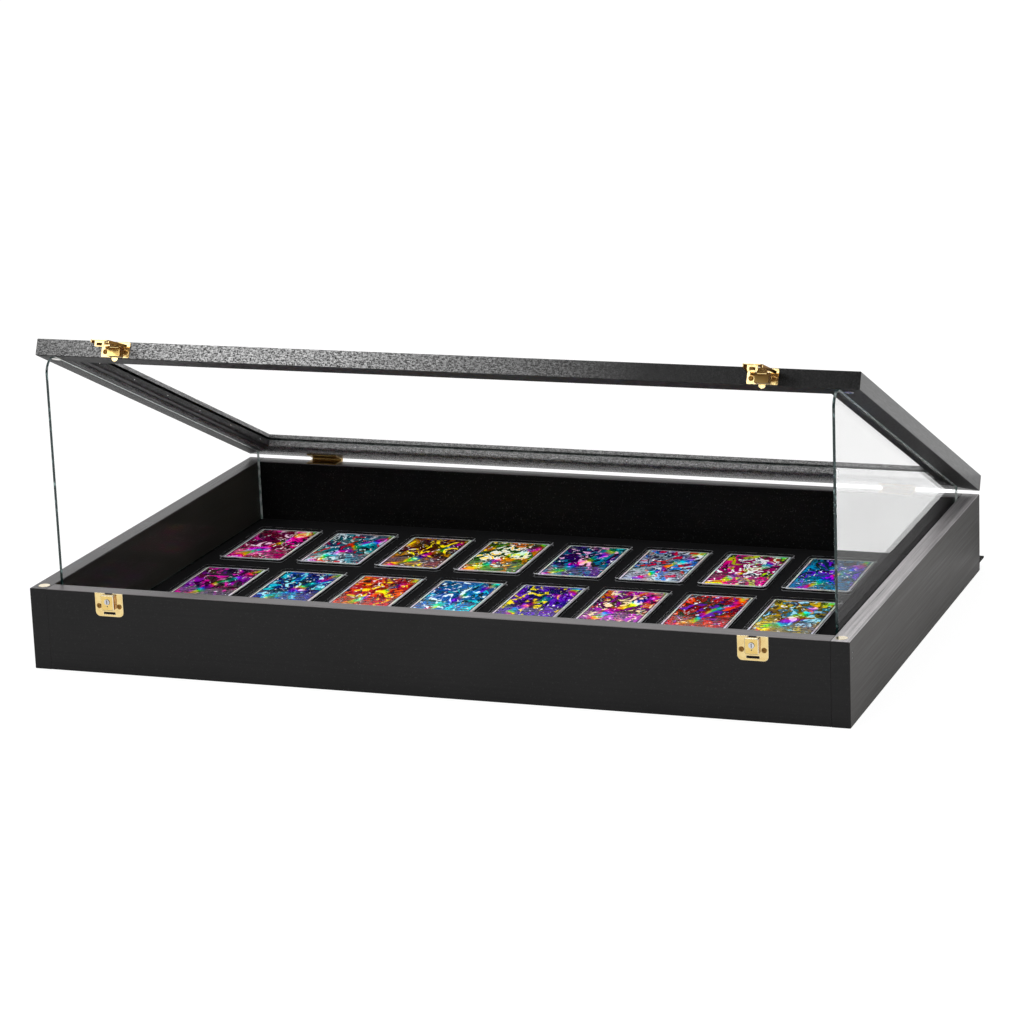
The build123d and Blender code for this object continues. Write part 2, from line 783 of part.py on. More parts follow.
def lock_bolt(side):
    """Slotted bolt drawn up in the housing; the crank pin pushes its tongue down."""
    face = tray_face(lock_centres[side])
    tip = case_box_bottom + bolt_tip_gap
    with BuildPart() as bolt:
        with BuildSketch(face.offset(plate_thickness + bolt_gap)):
            with Locations((0, (bolt_top + bolt_bottom) / 2)):
                Rectangle(bolt_width, bolt_top - bolt_bottom)
            with Locations((0, (bolt_top + tip) / 2)):
                Rectangle(bolt_tongue_width, bolt_top - tip)
            with Locations((0, -plug_drop + cam_offset)):
                Rectangle(bolt_slot_width, bolt_slot_height, mode=Mode.SUBTRACT)
        extrude(amount=bolt_thickness)
    save(bolt, f"lock_bolt_{side}")


# ---- catches and hasps on the lid ---------------------------------------
def catch_plate(side):
    """Plate with a raised box; the box's top front edge is the hasp's hinge."""
    face = lid_face(lock_centres[side])
    plate_top = catch_plate_bottom + catch_plate_height
    box_top = hasp_pin_height + (catch_box_reach - hasp_pin_reach)
    notch_bottom = hasp_pin_height - hasp_knuckle_radius - 2 * hasp_knuckle_play
    notch_back = hasp_pin_reach - hasp_offset - hasp_thickness - hasp_knuckle_play
    with BuildPart() as catch:
        with BuildSketch(face):
            with Locations((0, (catch_plate_bottom + plate_top) / 2)):
                Rectangle(plate_width, catch_plate_height)
            chamfer(vertices(), length=catch_plate_corner)
            with Locations((0, tongue_width / 2 - tongue_drop)):
                Circle(tongue_width / 2)
        extrude(amount=plate_thickness)
        with BuildSketch(across(face, -case_box_width / 2)):
            with BuildLine():
                Polyline(
                    (plate_thickness, catch_box_bottom),
                    (catch_box_reach, catch_box_bottom),
                    (catch_box_reach, box_top),
                    (plate_thickness, box_top),
                    close=True,
                )
            make_face()
            front_corners = vertices().group_by(Axis.X)[-1].sort_by(Axis.Y)
            fillet(front_corners[-1], radius=catch_box_reach - hasp_pin_reach)
            chamfer(front_corners[0], length=case_box_edge)
            with Locations((hasp_pin_reach, hasp_pin_height)):
                Circle(hasp_pin_radius + driven_fit, mode=Mode.SUBTRACT)
        extrude(amount=-case_box_width)
        knuckle_room = hasp_knuckle_width / 2 + hasp_knuckle_play
        with BuildSketch(across(face, -knuckle_room)):
            with Locations((notch_back, notch_bottom)):
                Rectangle(catch_box_reach, box_top, align=(Align.MIN, Align.MIN))
        extrude(amount=-2 * knuckle_room, mode=Mode.SUBTRACT)
        countersinks(plate_screws(face, catch_screw_height), plate_thickness)
    save(catch, f"catch_plate_{side}")


def hasp_plane(side):
    """On the hasp's pin: y out along the strap, z to the strap's outer side."""
    face = lid_face(lock_centres[side])
    rest = radians(hasp_rests[side])
    pin = face.origin + face.y_dir * hasp_pin_height + face.z_dir * hasp_pin_reach
    return Plane(origin=pin, x_dir=(-1, 0, 0), z_dir=face.y_dir * cos(rest) - face.z_dir * sin(rest))


def hasp(side):
    """Tapered strap with folded sides, a window for the plug and an eye for the bolt."""
    strap_plane = hasp_plane(side)
    half_base = hasp_base_width / 2
    half_end = hasp_end_width / 2
    skirt_end = hasp_length - hasp_corner
    skirt_share = (skirt_end - hasp_neck) / (hasp_length - hasp_neck)
    half_skirt_end = half_base + (half_end - half_base) * skirt_share
    eye_hole = hasp_pin_reach - plate_thickness - bolt_gap - bolt_thickness / 2
    with BuildPart() as strap:
        with BuildSketch(strap_plane.offset(hasp_offset)):
            with BuildLine():
                Polyline(
                    (-half_base, hasp_neck),
                    (half_base, hasp_neck),
                    (half_end, hasp_length),
                    (-half_end, hasp_length),
                    close=True,
                )
            make_face()
            fillet(vertices().group_by(Axis.Y)[-1], radius=hasp_corner)
            with Locations((0, hasp_neck)):
                Rectangle(hasp_knuckle_width, 2 * hasp_neck)
            with Locations((0, window_distance)):
                Circle(hasp_window_radius, mode=Mode.SUBTRACT)
        extrude(amount=hasp_thickness)
        with BuildSketch(strap_plane.offset(hasp_offset - hasp_skirt)):
            for edge_side in (-1, 1):
                with BuildLine():
                    Polyline(
                        (edge_side * half_base, hasp_neck),
                        (edge_side * half_skirt_end, skirt_end),
                        (edge_side * (half_skirt_end - hasp_thickness), skirt_end),
                        (edge_side * (half_base - hasp_thickness), hasp_neck),
                        close=True,
                    )
                make_face()
        extrude(amount=hasp_skirt)
        with BuildSketch(across(strap_plane, -hasp_knuckle_width / 2)):
            Circle(hasp_knuckle_radius)
            Rectangle(
                hasp_offset + hasp_thickness, hasp_knuckle_radius, align=(Align.MIN, Align.MIN)
            )
            Circle(hasp_pin_radius + running_fit, mode=Mode.SUBTRACT)
        extrude(amount=-hasp_knuckle_width)
        eye_plane = Plane(
            origin=strap_plane.origin + strap_plane.y_dir * (eye_distance - eye_thickness / 2),
            x_dir=strap_plane.x_dir,
            z_dir=strap_plane.y_dir,
        )
        with BuildSketch(eye_plane):
            with Locations((0, -hasp_offset)):
                Rectangle(eye_width, eye_depth, align=(Align.CENTER, Align.MIN))
            fillet(vertices().group_by(Axis.Y)[-1], radius=eye_rounding)
            with Locations((0, eye_hole)):
                Rectangle(eye_hole_width, eye_hole_height, mode=Mode.SUBTRACT)
        extrude(amount=eye_thickness)
    save(strap, f"hasp_{side}")


for side in sides:
    lock_plate(side)
    lock_plug(side)
    lock_bolt(side)
    catch_plate(side)
    hasp(side)

with BuildPart() as hasp_pins:
    for side in sides:
        with BuildSketch(across(hasp_plane(side), -case_box_width / 2)):
            Circle(hasp_pin_radius)
        extrude(amount=-case_box_width)
save(hasp_pins, "hasp_pins")


# ---- side panels --------------------------------------------------------
def under_lid(y):
    """Height at which a side panel's top edge stays clear of the resting lid."""
    return lid_z + (lid_y - y) * tan(radians(lid_rest_angle)) - side_glass_lid_gap / lean_cos


panel_front = front_y + side_glass_front
panel_back = back_y - side_glass_back
panel_outside = half_width - wall - side_glass_wall_gap
for side, outer_face in (("left", -panel_outside), ("right", panel_outside - side_glass_thickness)):
    with BuildPart() as panel:
        with BuildSketch(Plane(origin=(outer_face, 0, 0), x_dir=(0, 1, 0), z_dir=(1, 0, 0))):
            with BuildLine():
                Polyline(
                    (panel_front, deck_top),
                    (panel_back, deck_top),
                    (panel_back, under_lid(panel_back)),
                    (panel_front, under_lid(panel_front)),
                    close=True,
                )
            make_face()
            back_top = vertices().group_by(Axis.X)[-1].sort_by(Axis.Y)[-1]
            fillet(back_top, radius=side_glass_back_corner)
            front_top = vertices().sort_by(Axis.Y)[-1]
            fillet(front_top, radius=side_glass_front_corner)
        extrude(amount=side_glass_thickness)
    save(panel, f"side_glass_{side}")


# ---- card holders and cards ---------------------------------------------
array_length = row_pitch * (row_count - 1) + holder_length
array_centre_y = back_y - cards_from_back - array_length / 2
array_plane = Plane(
    origin=(cards_off_centre, array_centre_y, deck_top),
    x_dir=(cos(radians(cards_turn)), sin(radians(cards_turn)), 0),
    z_dir=(0, 0, 1),
)
slot_height = card_thickness + sleeve_height_play
slot_floor = (holder_thickness - slot_height) / 2
slot_width = card_width + 2 * sleeve_play
end_wall = (holder_width - slot_width) / 2

for number, row in enumerate(row_names):
    row_y = (number - (row_count - 1) / 2) * row_pitch
    row_plane = Plane(
        origin=array_plane.origin + array_plane.y_dir * row_y,
        x_dir=array_plane.x_dir,
        z_dir=array_plane.z_dir,
    )
    with BuildPart() as holders:
        with BuildSketch(row_plane):
            with GridLocations(column_pitch, row_pitch, card_columns, 1):
                Rectangle(holder_width, holder_length)
            chamfer(vertices(), length=holder_corner)
        extrude(amount=holder_thickness)
        with BuildSketch(row_plane.offset(slot_floor)):
            with GridLocations(column_pitch, row_pitch, card_columns, 1):
                with Locations((0, end_wall)):
                    Rectangle(slot_width, holder_length)
        extrude(amount=slot_height, mode=Mode.SUBTRACT)
    save(holders, f"card_holders_{row}_row")

    with BuildPart() as cards:
        with BuildSketch(row_plane.offset(slot_floor)):
            with GridLocations(column_pitch, row_pitch, card_columns, 1):
                Rectangle(card_width, card_length)
            chamfer(vertices(), length=card_corner)
        extrude(amount=card_thickness)
    save(cards, f"cards_{row}_row")
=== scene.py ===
# %% [markdown]
# # A glazed display case for collector's cards
# This lesson dresses a case that a shop or a collector keeps on a table: a shallow
# black tray with a leaning glass lid, two loose glass ends, two small brass locks and
# three rows of foil cards in clear holders. The solids are already made and come in as
# a fixed frame, so each cell only adds a finish, or a finer piece in a solid's place.

# %% Load the frame
from math import atan2, cos, degrees, pi, radians, sin

import bmesh
import bpy
from mathutils import Matrix, Vector
from mathutils.geometry import tessellate_polygon


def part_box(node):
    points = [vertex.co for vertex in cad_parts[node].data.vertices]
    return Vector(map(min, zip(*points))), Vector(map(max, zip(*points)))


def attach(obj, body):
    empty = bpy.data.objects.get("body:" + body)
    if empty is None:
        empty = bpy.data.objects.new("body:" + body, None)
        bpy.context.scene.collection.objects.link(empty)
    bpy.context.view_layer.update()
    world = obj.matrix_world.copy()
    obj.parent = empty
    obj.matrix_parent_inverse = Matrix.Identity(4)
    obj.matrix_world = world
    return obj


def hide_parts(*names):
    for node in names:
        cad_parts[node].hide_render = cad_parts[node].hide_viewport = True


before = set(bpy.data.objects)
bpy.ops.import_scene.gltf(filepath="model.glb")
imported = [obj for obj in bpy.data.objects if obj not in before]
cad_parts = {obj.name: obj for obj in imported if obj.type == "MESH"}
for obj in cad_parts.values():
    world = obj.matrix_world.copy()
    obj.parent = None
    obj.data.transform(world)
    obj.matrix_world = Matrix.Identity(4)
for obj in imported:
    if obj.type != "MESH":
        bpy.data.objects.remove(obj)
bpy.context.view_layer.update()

# %% [markdown]
# ## The case's own directions
# The tray is square to the world, but the lid leans back on its hinges. Its grain, its
# screws and its brads all lie in its own axes. The lean could be typed in, but it is safer
# read from the frame: the lid's big pane is flat, so its largest face points straight up
# from the lid.

# %% The lid's directions
pane_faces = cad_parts["lid_glass"].data.polygons
lid_up = max(pane_faces, key=lambda face: face.area).normal.copy()
if lid_up.z < 0:
    lid_up.negate()
lid_lean = atan2(lid_up.y, lid_up.z)
lid_back = Vector((0, cos(lid_lean), -sin(lid_lean)))
lid_up = Vector((0, sin(lid_lean), cos(lid_lean)))
to_right = Vector((1, 0, 0))
straight = (0, 0, 0)
leaning = (lid_lean, 0, 0)
print("the lid leans", round(degrees(lid_lean), 2), "degrees")

# %% [markdown]
# ## Putting things in the scene
# A thing in Blender is an object, which has a place, round some data, which holds the
# shape, the lamp or the lens. It shows only once it is linked to a collection. Each later
# cell needs this, so one short helper does it for all.

# %% Link an object
def linked(name, data):
    """An object round some data, linked to the scene."""
    thing = bpy.data.objects.new(name, data)
    bpy.context.collection.objects.link(thing)
    return thing


# %% [markdown]
# ## Camera
# A long lens, far away, keeps the long front edge nearly straight, as a maker's
# catalogue does. The camera's place and its three turns fully set the view, so they are
# given as plain numbers, and the matrix is built from them.

# %% Camera
camera_place = Vector((1.2579, -3.4191, 1.0835))
camera_yaw, camera_pitch, camera_roll = 0.354667, -0.259905, -0.039501
looking = Vector(
    (-sin(camera_yaw) * cos(camera_pitch), cos(camera_yaw) * cos(camera_pitch), sin(camera_pitch))
)
level_right = Vector((cos(camera_yaw), sin(camera_yaw), 0))
level_up = level_right.cross(looking)
camera_right = level_right * cos(camera_roll) + level_up * sin(camera_roll)
camera_up = level_up * cos(camera_roll) - level_right * sin(camera_roll)
camera_data = bpy.data.cameras.new("catalogue_camera")
camera_data.lens = 125.74
camera_data.sensor_width = 36
camera = linked("catalogue_camera", camera_data)
turn = Matrix((camera_right, camera_up, -looking)).transposed()
camera.matrix_world = Matrix.Translation(camera_place) @ turn.to_4x4()
bpy.context.scene.camera = camera
bpy.context.scene.view_settings.view_transform = "Standard"
print("camera", round(camera_place.length, 2), "m from the case")

# %% [markdown]
# ## Helpers for node trees
# A material or a geometry tree is a list of nodes and of wires between them. Two short
# helpers keep the next cells readable: one adds a node with its settings and values, and
# one joins an output to an input.

# %% Node helpers
def add(tree, kind, values=None, **settings):
    """Add a node, set its properties, then its unlinked input values."""
    made = tree.nodes.new(kind)
    for name, value in settings.items():
        setattr(made, name, value)
    for name, value in (values or {}).items():
        made.inputs[name].default_value = value
    return made


def join(tree, source, output, target, socket):
    """Wire one node's output into another node's input."""
    tree.links.new(source.outputs[output], target.inputs[socket])


def new_finish(name, **values):
    """A material with one shader, whose constant values sit on its own sockets."""
    finish = bpy.data.materials.new(name)
    finish.use_nodes = True
    tree = finish.node_tree
    tree.nodes.clear()
    shader = add(tree, "ShaderNodeBsdfPrincipled", values)
    output = add(tree, "ShaderNodeOutputMaterial")
    join(tree, shader, "BSDF", output, "Surface")
    return finish, tree, shader


def pattern_space(tree, turn=straight, scale=(1, 1, 1)):
    """Object coordinates, turned to the piece's own axes, then stretched."""
    place = add(tree, "ShaderNodeTexCoord")
    turned = add(tree, "ShaderNodeMapping", {"Rotation": turn})
    stretched = add(tree, "ShaderNodeMapping", {"Scale": scale})
    join(tree, place, "Object", turned, "Vector")
    join(tree, turned, "Vector", stretched, "Vector")
    return stretched


print("node helpers ready")

# %% [markdown]
# ## Helpers for ranges and colours
# A pattern comes out of its node as values in the middle of a range, and a finish needs
# them as a tone or a roughness. One helper moves a range, and another mixes two colours
# by a value.

# %% Range and colour helpers
def blend_between(tree, source, output, low, high, floor, ceiling):
    """Turn a pattern's range low to high into the range floor to ceiling."""
    ends = {"From Min": low, "From Max": high, "To Min": floor, "To Max": ceiling}
    step = add(tree, "ShaderNodeMapRange", ends)
    join(tree, source, output, step, "Value")
    return step


def mix_colours(tree, factor, factor_output, first, second, blend="MIX"):
    """Mix two colours; each is a colour or a (node, output) pair."""
    mixed = add(tree, "ShaderNodeMix", data_type="RGBA", blend_type=blend)
    if factor_output is None:
        mixed.inputs[0].default_value = factor
    else:
        join(tree, factor, factor_output, mixed, 0)
    for socket, colour in ((6, first), (7, second)):
        if isinstance(colour[0], (int, float)):
            mixed.inputs[socket].default_value = colour
        else:
            tree.links.new(colour[0].outputs[colour[1]], mixed.inputs[socket])
    return mixed


print("range and colour helpers ready")

# %% [markdown]
# ## Helpers for surfaces
# Most finishes here are built alike. A noise gives the pattern, a step sharpens it, two
# tones follow it, and the surface rises with it. Each of these is a line in the recipes
# that follow. The last helper tells a straight look from a mirrored one. The room and
# the paper under the case need it, as both have to look whiter than the light they give.

# %% Surface helpers
def noise_over(tree, space, scale, detail, roughness=0.5):
    """Noise laid over a piece from its own space."""
    values = {"Scale": scale, "Detail": detail, "Roughness": roughness}
    noise = add(tree, "ShaderNodeTexNoise", values)
    join(tree, space, "Vector", noise, "Vector")
    return noise


def two_tones(tree, shader, factor, output, first, second):
    """Give a shader two tones that follow a pattern."""
    tone = mix_colours(tree, factor, output, first, second)
    join(tree, tone, 2, shader, "Base Color")


def raise_pattern(tree, shader, source, output, strength, height):
    """Make the surface seem to rise where a pattern is bright."""
    bump = add(tree, "ShaderNodeBump", {"Strength": strength, "Distance": height})
    join(tree, source, output, bump, "Height")
    join(tree, bump, "Normal", shader, "Normal")


def straight_look(tree):
    """A value of one for rays that see a thing directly or through glass."""
    asked = add(tree, "ShaderNodeLightPath")
    seen = add(tree, "ShaderNodeMath", operation="MAXIMUM")
    join(tree, asked, "Is Camera Ray", seen, 0)
    join(tree, asked, "Is Transmission Ray", seen, 1)
    return seen


print("surface helpers ready")

# %% [markdown]
# ## A pale room
# A black lacquered piece shows little but what it mirrors, so the room around it matters
# as much as the lamps: bright behind the case, dimmer on the camera's side. The ray that
# asks decides what it gets. A camera ray and one through glass see plain white, a mirrored
# ray sees the room's shading, and matte surfaces get one even level.

# %% Room
world = bpy.data.worlds.new("pale_room")
bpy.context.scene.world = world
world.use_nodes = True
room = world.node_tree
room.nodes.clear()
ray = add(room, "ShaderNodeLightPath")
look = add(room, "ShaderNodeTexCoord")
split = add(room, "ShaderNodeSeparateXYZ")
join(room, look, "Generated", split, "Vector")
matte_level, near_level, far_level = 0.62, 0.10, 1.0
towards_back = blend_between(room, split, "Y", -0.80, 0.45, near_level, far_level)
lit = blend_between(room, ray, "Is Glossy Ray", 0, 1, matte_level, 1.0)
join(room, towards_back, "Result", lit, "To Max")
strength = add(room, "ShaderNodeMath", operation="MAXIMUM")
join(room, lit, "Result", strength, 0)
join(room, straight_look(room), "Value", strength, 1)
sky = add(room, "ShaderNodeBackground", {"Color": (1, 1, 1, 1)})
join(room, strength, "Value", sky, "Strength")
room_out = add(room, "ShaderNodeOutputWorld")
join(room, sky, "Background", room_out, "Surface")
print("room nodes:", len(room.nodes))

# %% [markdown]
# ## Soft lamps
# A catalogue table is lit by big softboxes, because a small bright lamp gives hard
# shadows and hot points in the brass. One hangs overhead and one stands front left. A
# smaller third one grazes the lid's front rail to bring out its grain. Light linking
# keeps it off everything else, as a card held up beside a lamp would.

# %% Lamps
def area_lamp(name, place, aim, width, height, power):
    """A soft rectangular lamp that looks at a point."""
    data = bpy.data.lights.new(name, "AREA")
    data.shape = "RECTANGLE"
    data.size, data.size_y, data.energy = width, height, power
    lamp = linked(name, data)
    lamp.location = place
    lamp.rotation_euler = (Vector(aim) - Vector(place)).to_track_quat("-Z", "Y").to_euler()
    lamp.visible_camera = False
    return lamp


area_lamp("overhead_softbox", (0.0, -0.1, 2.3), (0, 0, 0), 2.4, 1.6, 24)
area_lamp("front_softbox", (-1.15, -2.35, 1.75), (0, 0, 0.15), 1.6, 1.2, 16)
grain_lamp = area_lamp("grain_lamp", (-1.42, -2.25, 1.72), (-0.25, -0.24, 0.33), 0.5, 0.4, 28)

# %% [markdown]
# ## White sweep
# A sweep is a sheet of white paper under and behind the piece. Lit evenly it would go
# grey away from the lamps, so rays that look straight at it get a little light of its
# own and see it white. All other rays find plain paper, which keeps the soft shadow and
# throws light up under the lid.

# %% Floor
sweep_reach = 9.0
paper_finish, paper_tree, paper_shader = new_finish("white_sweep", **{"Roughness": 0.9})
paper_seen = straight_look(paper_tree)
paper_glow = blend_between(paper_tree, paper_seen, "Value", 0, 1, 0, 0.90)
paper_shader.inputs["Emission Color"].default_value = (1, 1, 1, 1)
join(paper_tree, paper_glow, "Result", paper_shader, "Emission Strength")
two_tones(paper_tree, paper_shader, paper_seen, "Value", (0.9, 0.9, 0.9, 1), (0.15, 0.15, 0.15, 1))
sweep_shape = bmesh.new()
bmesh.ops.create_grid(sweep_shape, x_segments=8, y_segments=8, size=sweep_reach)
sweep_mesh = bpy.data.meshes.new("sweep")
sweep_shape.to_mesh(sweep_mesh)
sweep_shape.free()
sweep_mesh.materials.append(paper_finish)
linked("sweep", sweep_mesh)
print("sweep", 2 * sweep_reach, "m square")

# %% [markdown]
# ## Bounce card
# A pane of glass is seen by what it mirrors. A white card stands behind the case, just
# past the end of its right wall, where only the right pane's mirror image finds it. It
# lights nothing and casts no shadow, so it acts as a reflector does in a studio.

# %% Bounce card
card_left, card_right, card_back, card_top = 0.4127, 0.70, 0.32, 0.095
white_card = new_finish(
    "white_card", **{"Emission Color": (1, 1, 1, 1), "Emission Strength": 4.6}
)[0]
bounce_mesh = bpy.data.meshes.new("bounce_card")
card_corners = ((card_left, 0), (card_right, 0), (card_right, card_top), (card_left, card_top))
bounce_mesh.from_pydata([(x, card_back, z) for x, z in card_corners], [], [(0, 1, 2, 3)])
bounce_mesh.materials.append(white_card)
bounce_card = linked("bounce_card", bounce_mesh)
bounce_card.visible_camera = False
bounce_card.visible_diffuse = False
bounce_card.visible_transmission = False
bounce_card.visible_shadow = False
print("bounce card", round(card_right - card_left, 3), "m wide, seen in gloss alone")

# %% [markdown]
# ## Black satin wood
# The boards are stained and lacquered black. Up close such a board isn't flat black: a
# faint grain runs along it, the lacquer is a little uneven, and dust leaves a few pale
# specks. The grain is noise stretched along the board, which a picture could also give,
# but a rule has no repeat and no seam at the corners. Each board has its own direction,
# so the same recipe is made once for each.

# %% Wood recipe
def black_wood(name, stretch, dark, pale, rough, relief, gloss, grit):
    """Stained wood whose grain runs along the smallest number of the stretch."""
    finish, tree, shader = new_finish(name, **{"Specular IOR Level": gloss})
    space = pattern_space(tree, straight, stretch)
    grain = noise_over(tree, space, 1.0, 7.0, 0.62)
    even = pattern_space(tree)
    cloud = noise_over(tree, even, 7.0, 4.0)
    dust = add(tree, "ShaderNodeTexVoronoi", {"Scale": 24.0, "Randomness": 1.0})
    join(tree, even, "Vector", dust, "Vector")
    sand = noise_over(tree, even, 640.0, 1.0)
    grain_step = blend_between(tree, grain, "Fac", 0.35, 0.68, 0.0, 1.0)
    tone = mix_colours(tree, grain_step, "Result", (*dark, 1), (*pale, 1))
    cloud_step = blend_between(tree, cloud, "Fac", 0.35, 0.7, 0.80, 1.18)
    clouded = mix_colours(tree, 1.0, None, (tone, 2), (cloud_step, 0), "MULTIPLY")
    sand_step = blend_between(tree, sand, "Fac", 0.64, 0.72, 0.0, 1.0)
    sanded = mix_colours(tree, sand_step, "Result", (clouded, 2), (grit, grit, grit, 1))
    dust_step = blend_between(tree, dust, "Distance", 0.010, 0.018, 1.0, 0.0)
    two_tones(tree, shader, dust_step, "Result", (sanded, 2), (0.13, 0.13, 0.1248, 1))
    rough_step = blend_between(tree, grain, "Fac", 0.3, 0.7, rough - 0.08, rough + 0.10)
    join(tree, rough_step, "Result", shader, "Roughness")
    raise_pattern(tree, shader, grain, "Fac", relief, 0.0002)
    return finish


wood_across = black_wood(
    "black_wood_across", (7, 500, 500), (0.0062, 0.0060, 0.0065), (0.0100, 0.0096, 0.0100),
    rough=0.36, relief=0.10, gloss=0.24, grit=0.016,
)
# the back board's copy is darker than the front's: painted shade
wood_back = black_wood(
    "black_wood_back", (7, 500, 500), (0.003, 0.003, 0.003), (0.006, 0.006, 0.006),
    rough=0.45, relief=0.10, gloss=0.10, grit=0.030,
)
wood_deep = black_wood(
    "black_wood_deep", (500, 7, 500), (0.016, 0.0140, 0.0115), (0.036, 0.031, 0.026),
    rough=0.42, relief=0.14, gloss=0.42, grit=0.03,
)
print("board finishes:", wood_across.name, wood_back.name, wood_deep.name)

# %% [markdown]
# ## The rim's painted sheen
# The tray's top edge is where hands and the lid rub, and it catches the light along its
# whole length. It could be left in the boards' own black, but it would then vanish
# against the cloth. So the same recipe in paler greys paints that caught light into its
# colour as a sheen, and the copy on the left is darkest, as painted shade, where the
# least light reaches.

# %% Rim finishes
# painted sheen: paler greys for the light the rim tops catch; the left copy is darker, as painted shade
rim_sheen_across = black_wood(
    "rim_sheen_across", (5, 400, 400), (0.05, 0.046, 0.047), (0.16, 0.140, 0.146),
    rough=0.32, relief=0.10, gloss=0.5, grit=0.1,
)
rim_sheen_deep = black_wood(
    "rim_sheen_deep", (400, 5, 400), (0.22, 0.210, 0.214), (0.60, 0.570, 0.582),
    rough=0.32, relief=0.10, gloss=0.5, grit=0.1,
)
rim_painted_shade = black_wood(
    "rim_painted_shade", (400, 5, 400), (0.03, 0.028, 0.029), (0.09, 0.084, 0.087),
    rough=0.32, relief=0.10, gloss=0.3, grit=0.06,
)
print("rim finishes:", rim_sheen_across.name, rim_sheen_deep.name, rim_painted_shade.name)

# %% [markdown]
# ## The lid's grain and painted glints
# The lid's rails are thin strips sprayed with a coarser lacquer. Where a lamp grazes an
# open-pored wood under black, the pores stay low and the ridges catch the light in fine
# glints; here those glints are painted, as pale specks in the colour on the ridges. A
# second, rounder noise gives the pores, and the bump is stronger than on the tray. The
# painted glints fade towards the right, where the lamp no longer reaches, down to the
# share named fade, and thin out at the far left end: a painted sheen along the rail.

# %% Lid wood recipe
def pored_wood(name, stretch, pore, relief, dark, pale, glint_tone, gloss, rough, fade):
    """Open-pored black wood for the leaning lid, with painted glints and a painted sheen along its length.
    """
    finish, tree, shader = new_finish(name, **{"Specular IOR Level": gloss})
    space = pattern_space(tree, leaning, stretch)
    ridges = noise_over(tree, space, 1.0, 5.0, 0.6)
    even = pattern_space(tree, leaning, (pore, pore, pore))
    pores = noise_over(tree, even, 1.0, 3.0, 0.7)
    mixed = add(tree, "ShaderNodeMath", {1: 0.5}, operation="MULTIPLY_ADD")
    join(tree, ridges, "Fac", mixed, 0)
    half = add(tree, "ShaderNodeMath", {1: 0.5}, operation="MULTIPLY")
    join(tree, pores, "Fac", half, 0)
    join(tree, half, "Value", mixed, 2)
    tone_step = blend_between(tree, mixed, "Value", 0.46, 0.66, 0.0, 1.0)
    tone = mix_colours(
        tree, tone_step, "Result", (dark, dark, dark, 1), (pale, pale, pale * 1.02, 1)
    )
    place = add(tree, "ShaderNodeSeparateXYZ")
    join(tree, pattern_space(tree), "Vector", place, "Vector")
    # painted sheen along the rail: weaker to the right, down to fade, and at the far left end
    fading = blend_between(tree, place, "X", -0.14, 0.22, 1.0, fade)
    sheen_along = blend_between(tree, place, "X", -0.43, -0.26, 0.35, 1.0)
    join(tree, fading, "Result", sheen_along, "To Max")
    glint_step = blend_between(tree, mixed, "Value", 0.44, 0.62, 0.0, 1.0)
    painted_glints = add(tree, "ShaderNodeMath", operation="MULTIPLY")
    join(tree, glint_step, "Result", painted_glints, 0)
    join(tree, sheen_along, "Result", painted_glints, 1)
    two_tones(tree, shader, painted_glints, "Value", (tone, 2), (glint_tone, glint_tone, glint_tone, 1))
    rough_step = blend_between(tree, pores, "Fac", 0.3, 0.7, rough, rough + 0.14)
    join(tree, rough_step, "Result", shader, "Roughness")
    raise_pattern(tree, shader, mixed, "Value", relief, 0.0008)
    return finish


# the five copies differ in tone and glints by the light each kind of face catches: painted sheen and
# painted shade, palest on the rails' sides and the back rail's underside
lid_wood_across = pored_wood(
    "pored_wood_across", (240, 900, 900), 760, relief=0.5,
    dark=0.004, pale=0.012, glint_tone=0.62, gloss=0.13, rough=0.2, fade=0.0,
)
lid_wood_deep = pored_wood(
    "pored_wood_deep", (800, 120, 800), 700, relief=0.15,
    dark=0.020, pale=0.045, glint_tone=0.14, gloss=0.12, rough=0.4, fade=0.3,
)
lid_wood_under = pored_wood(
    "pored_wood_under", (160, 800, 800), 560, relief=0.15,
    dark=0.012, pale=0.020, glint_tone=0.10, gloss=0.06, rough=0.4, fade=0.5,
)
lid_wood_side = pored_wood(
    "pored_wood_side", (800, 60, 800), 560, relief=0.1,
    dark=0.095, pale=0.19, glint_tone=1.0, gloss=0.5, rough=0.26, fade=0.0,
)
lid_wood_sheen = pored_wood(
    "pored_wood_painted_sheen", (160, 800, 800), 700, relief=0.4,
    dark=0.06, pale=0.12, glint_tone=0.36, gloss=0.5, rough=0.2, fade=0.9,
)
print("lid finishes:", lid_wood_across.name, lid_wood_deep.name, lid_wood_sheen.name)

# %% [markdown]
# ## Easing a piece's edges
# A machine-cut edge is never perfectly sharp, and the thin light line along it is what
# makes a solid look real. The solids are made of loose triangles, so a copy is merged
# first, its flat faces are joined up again, and a narrow bevel goes on every edge that
# really turns. The result is kept as a plain mesh.

# %% Eased copies
same_place = 2e-6


def plain_mesh(piece):
    """Turn a piece and its modifiers into one plain mesh."""
    graph = bpy.context.evaluated_depsgraph_get()
    mesh = bpy.data.meshes.new_from_object(piece.evaluated_get(graph))
    for number in reversed(range(len(mesh.materials))):
        if mesh.materials[number] is None:
            mesh.materials.pop(index=number)
    piece.modifiers.clear()
    piece.data = mesh
    return piece


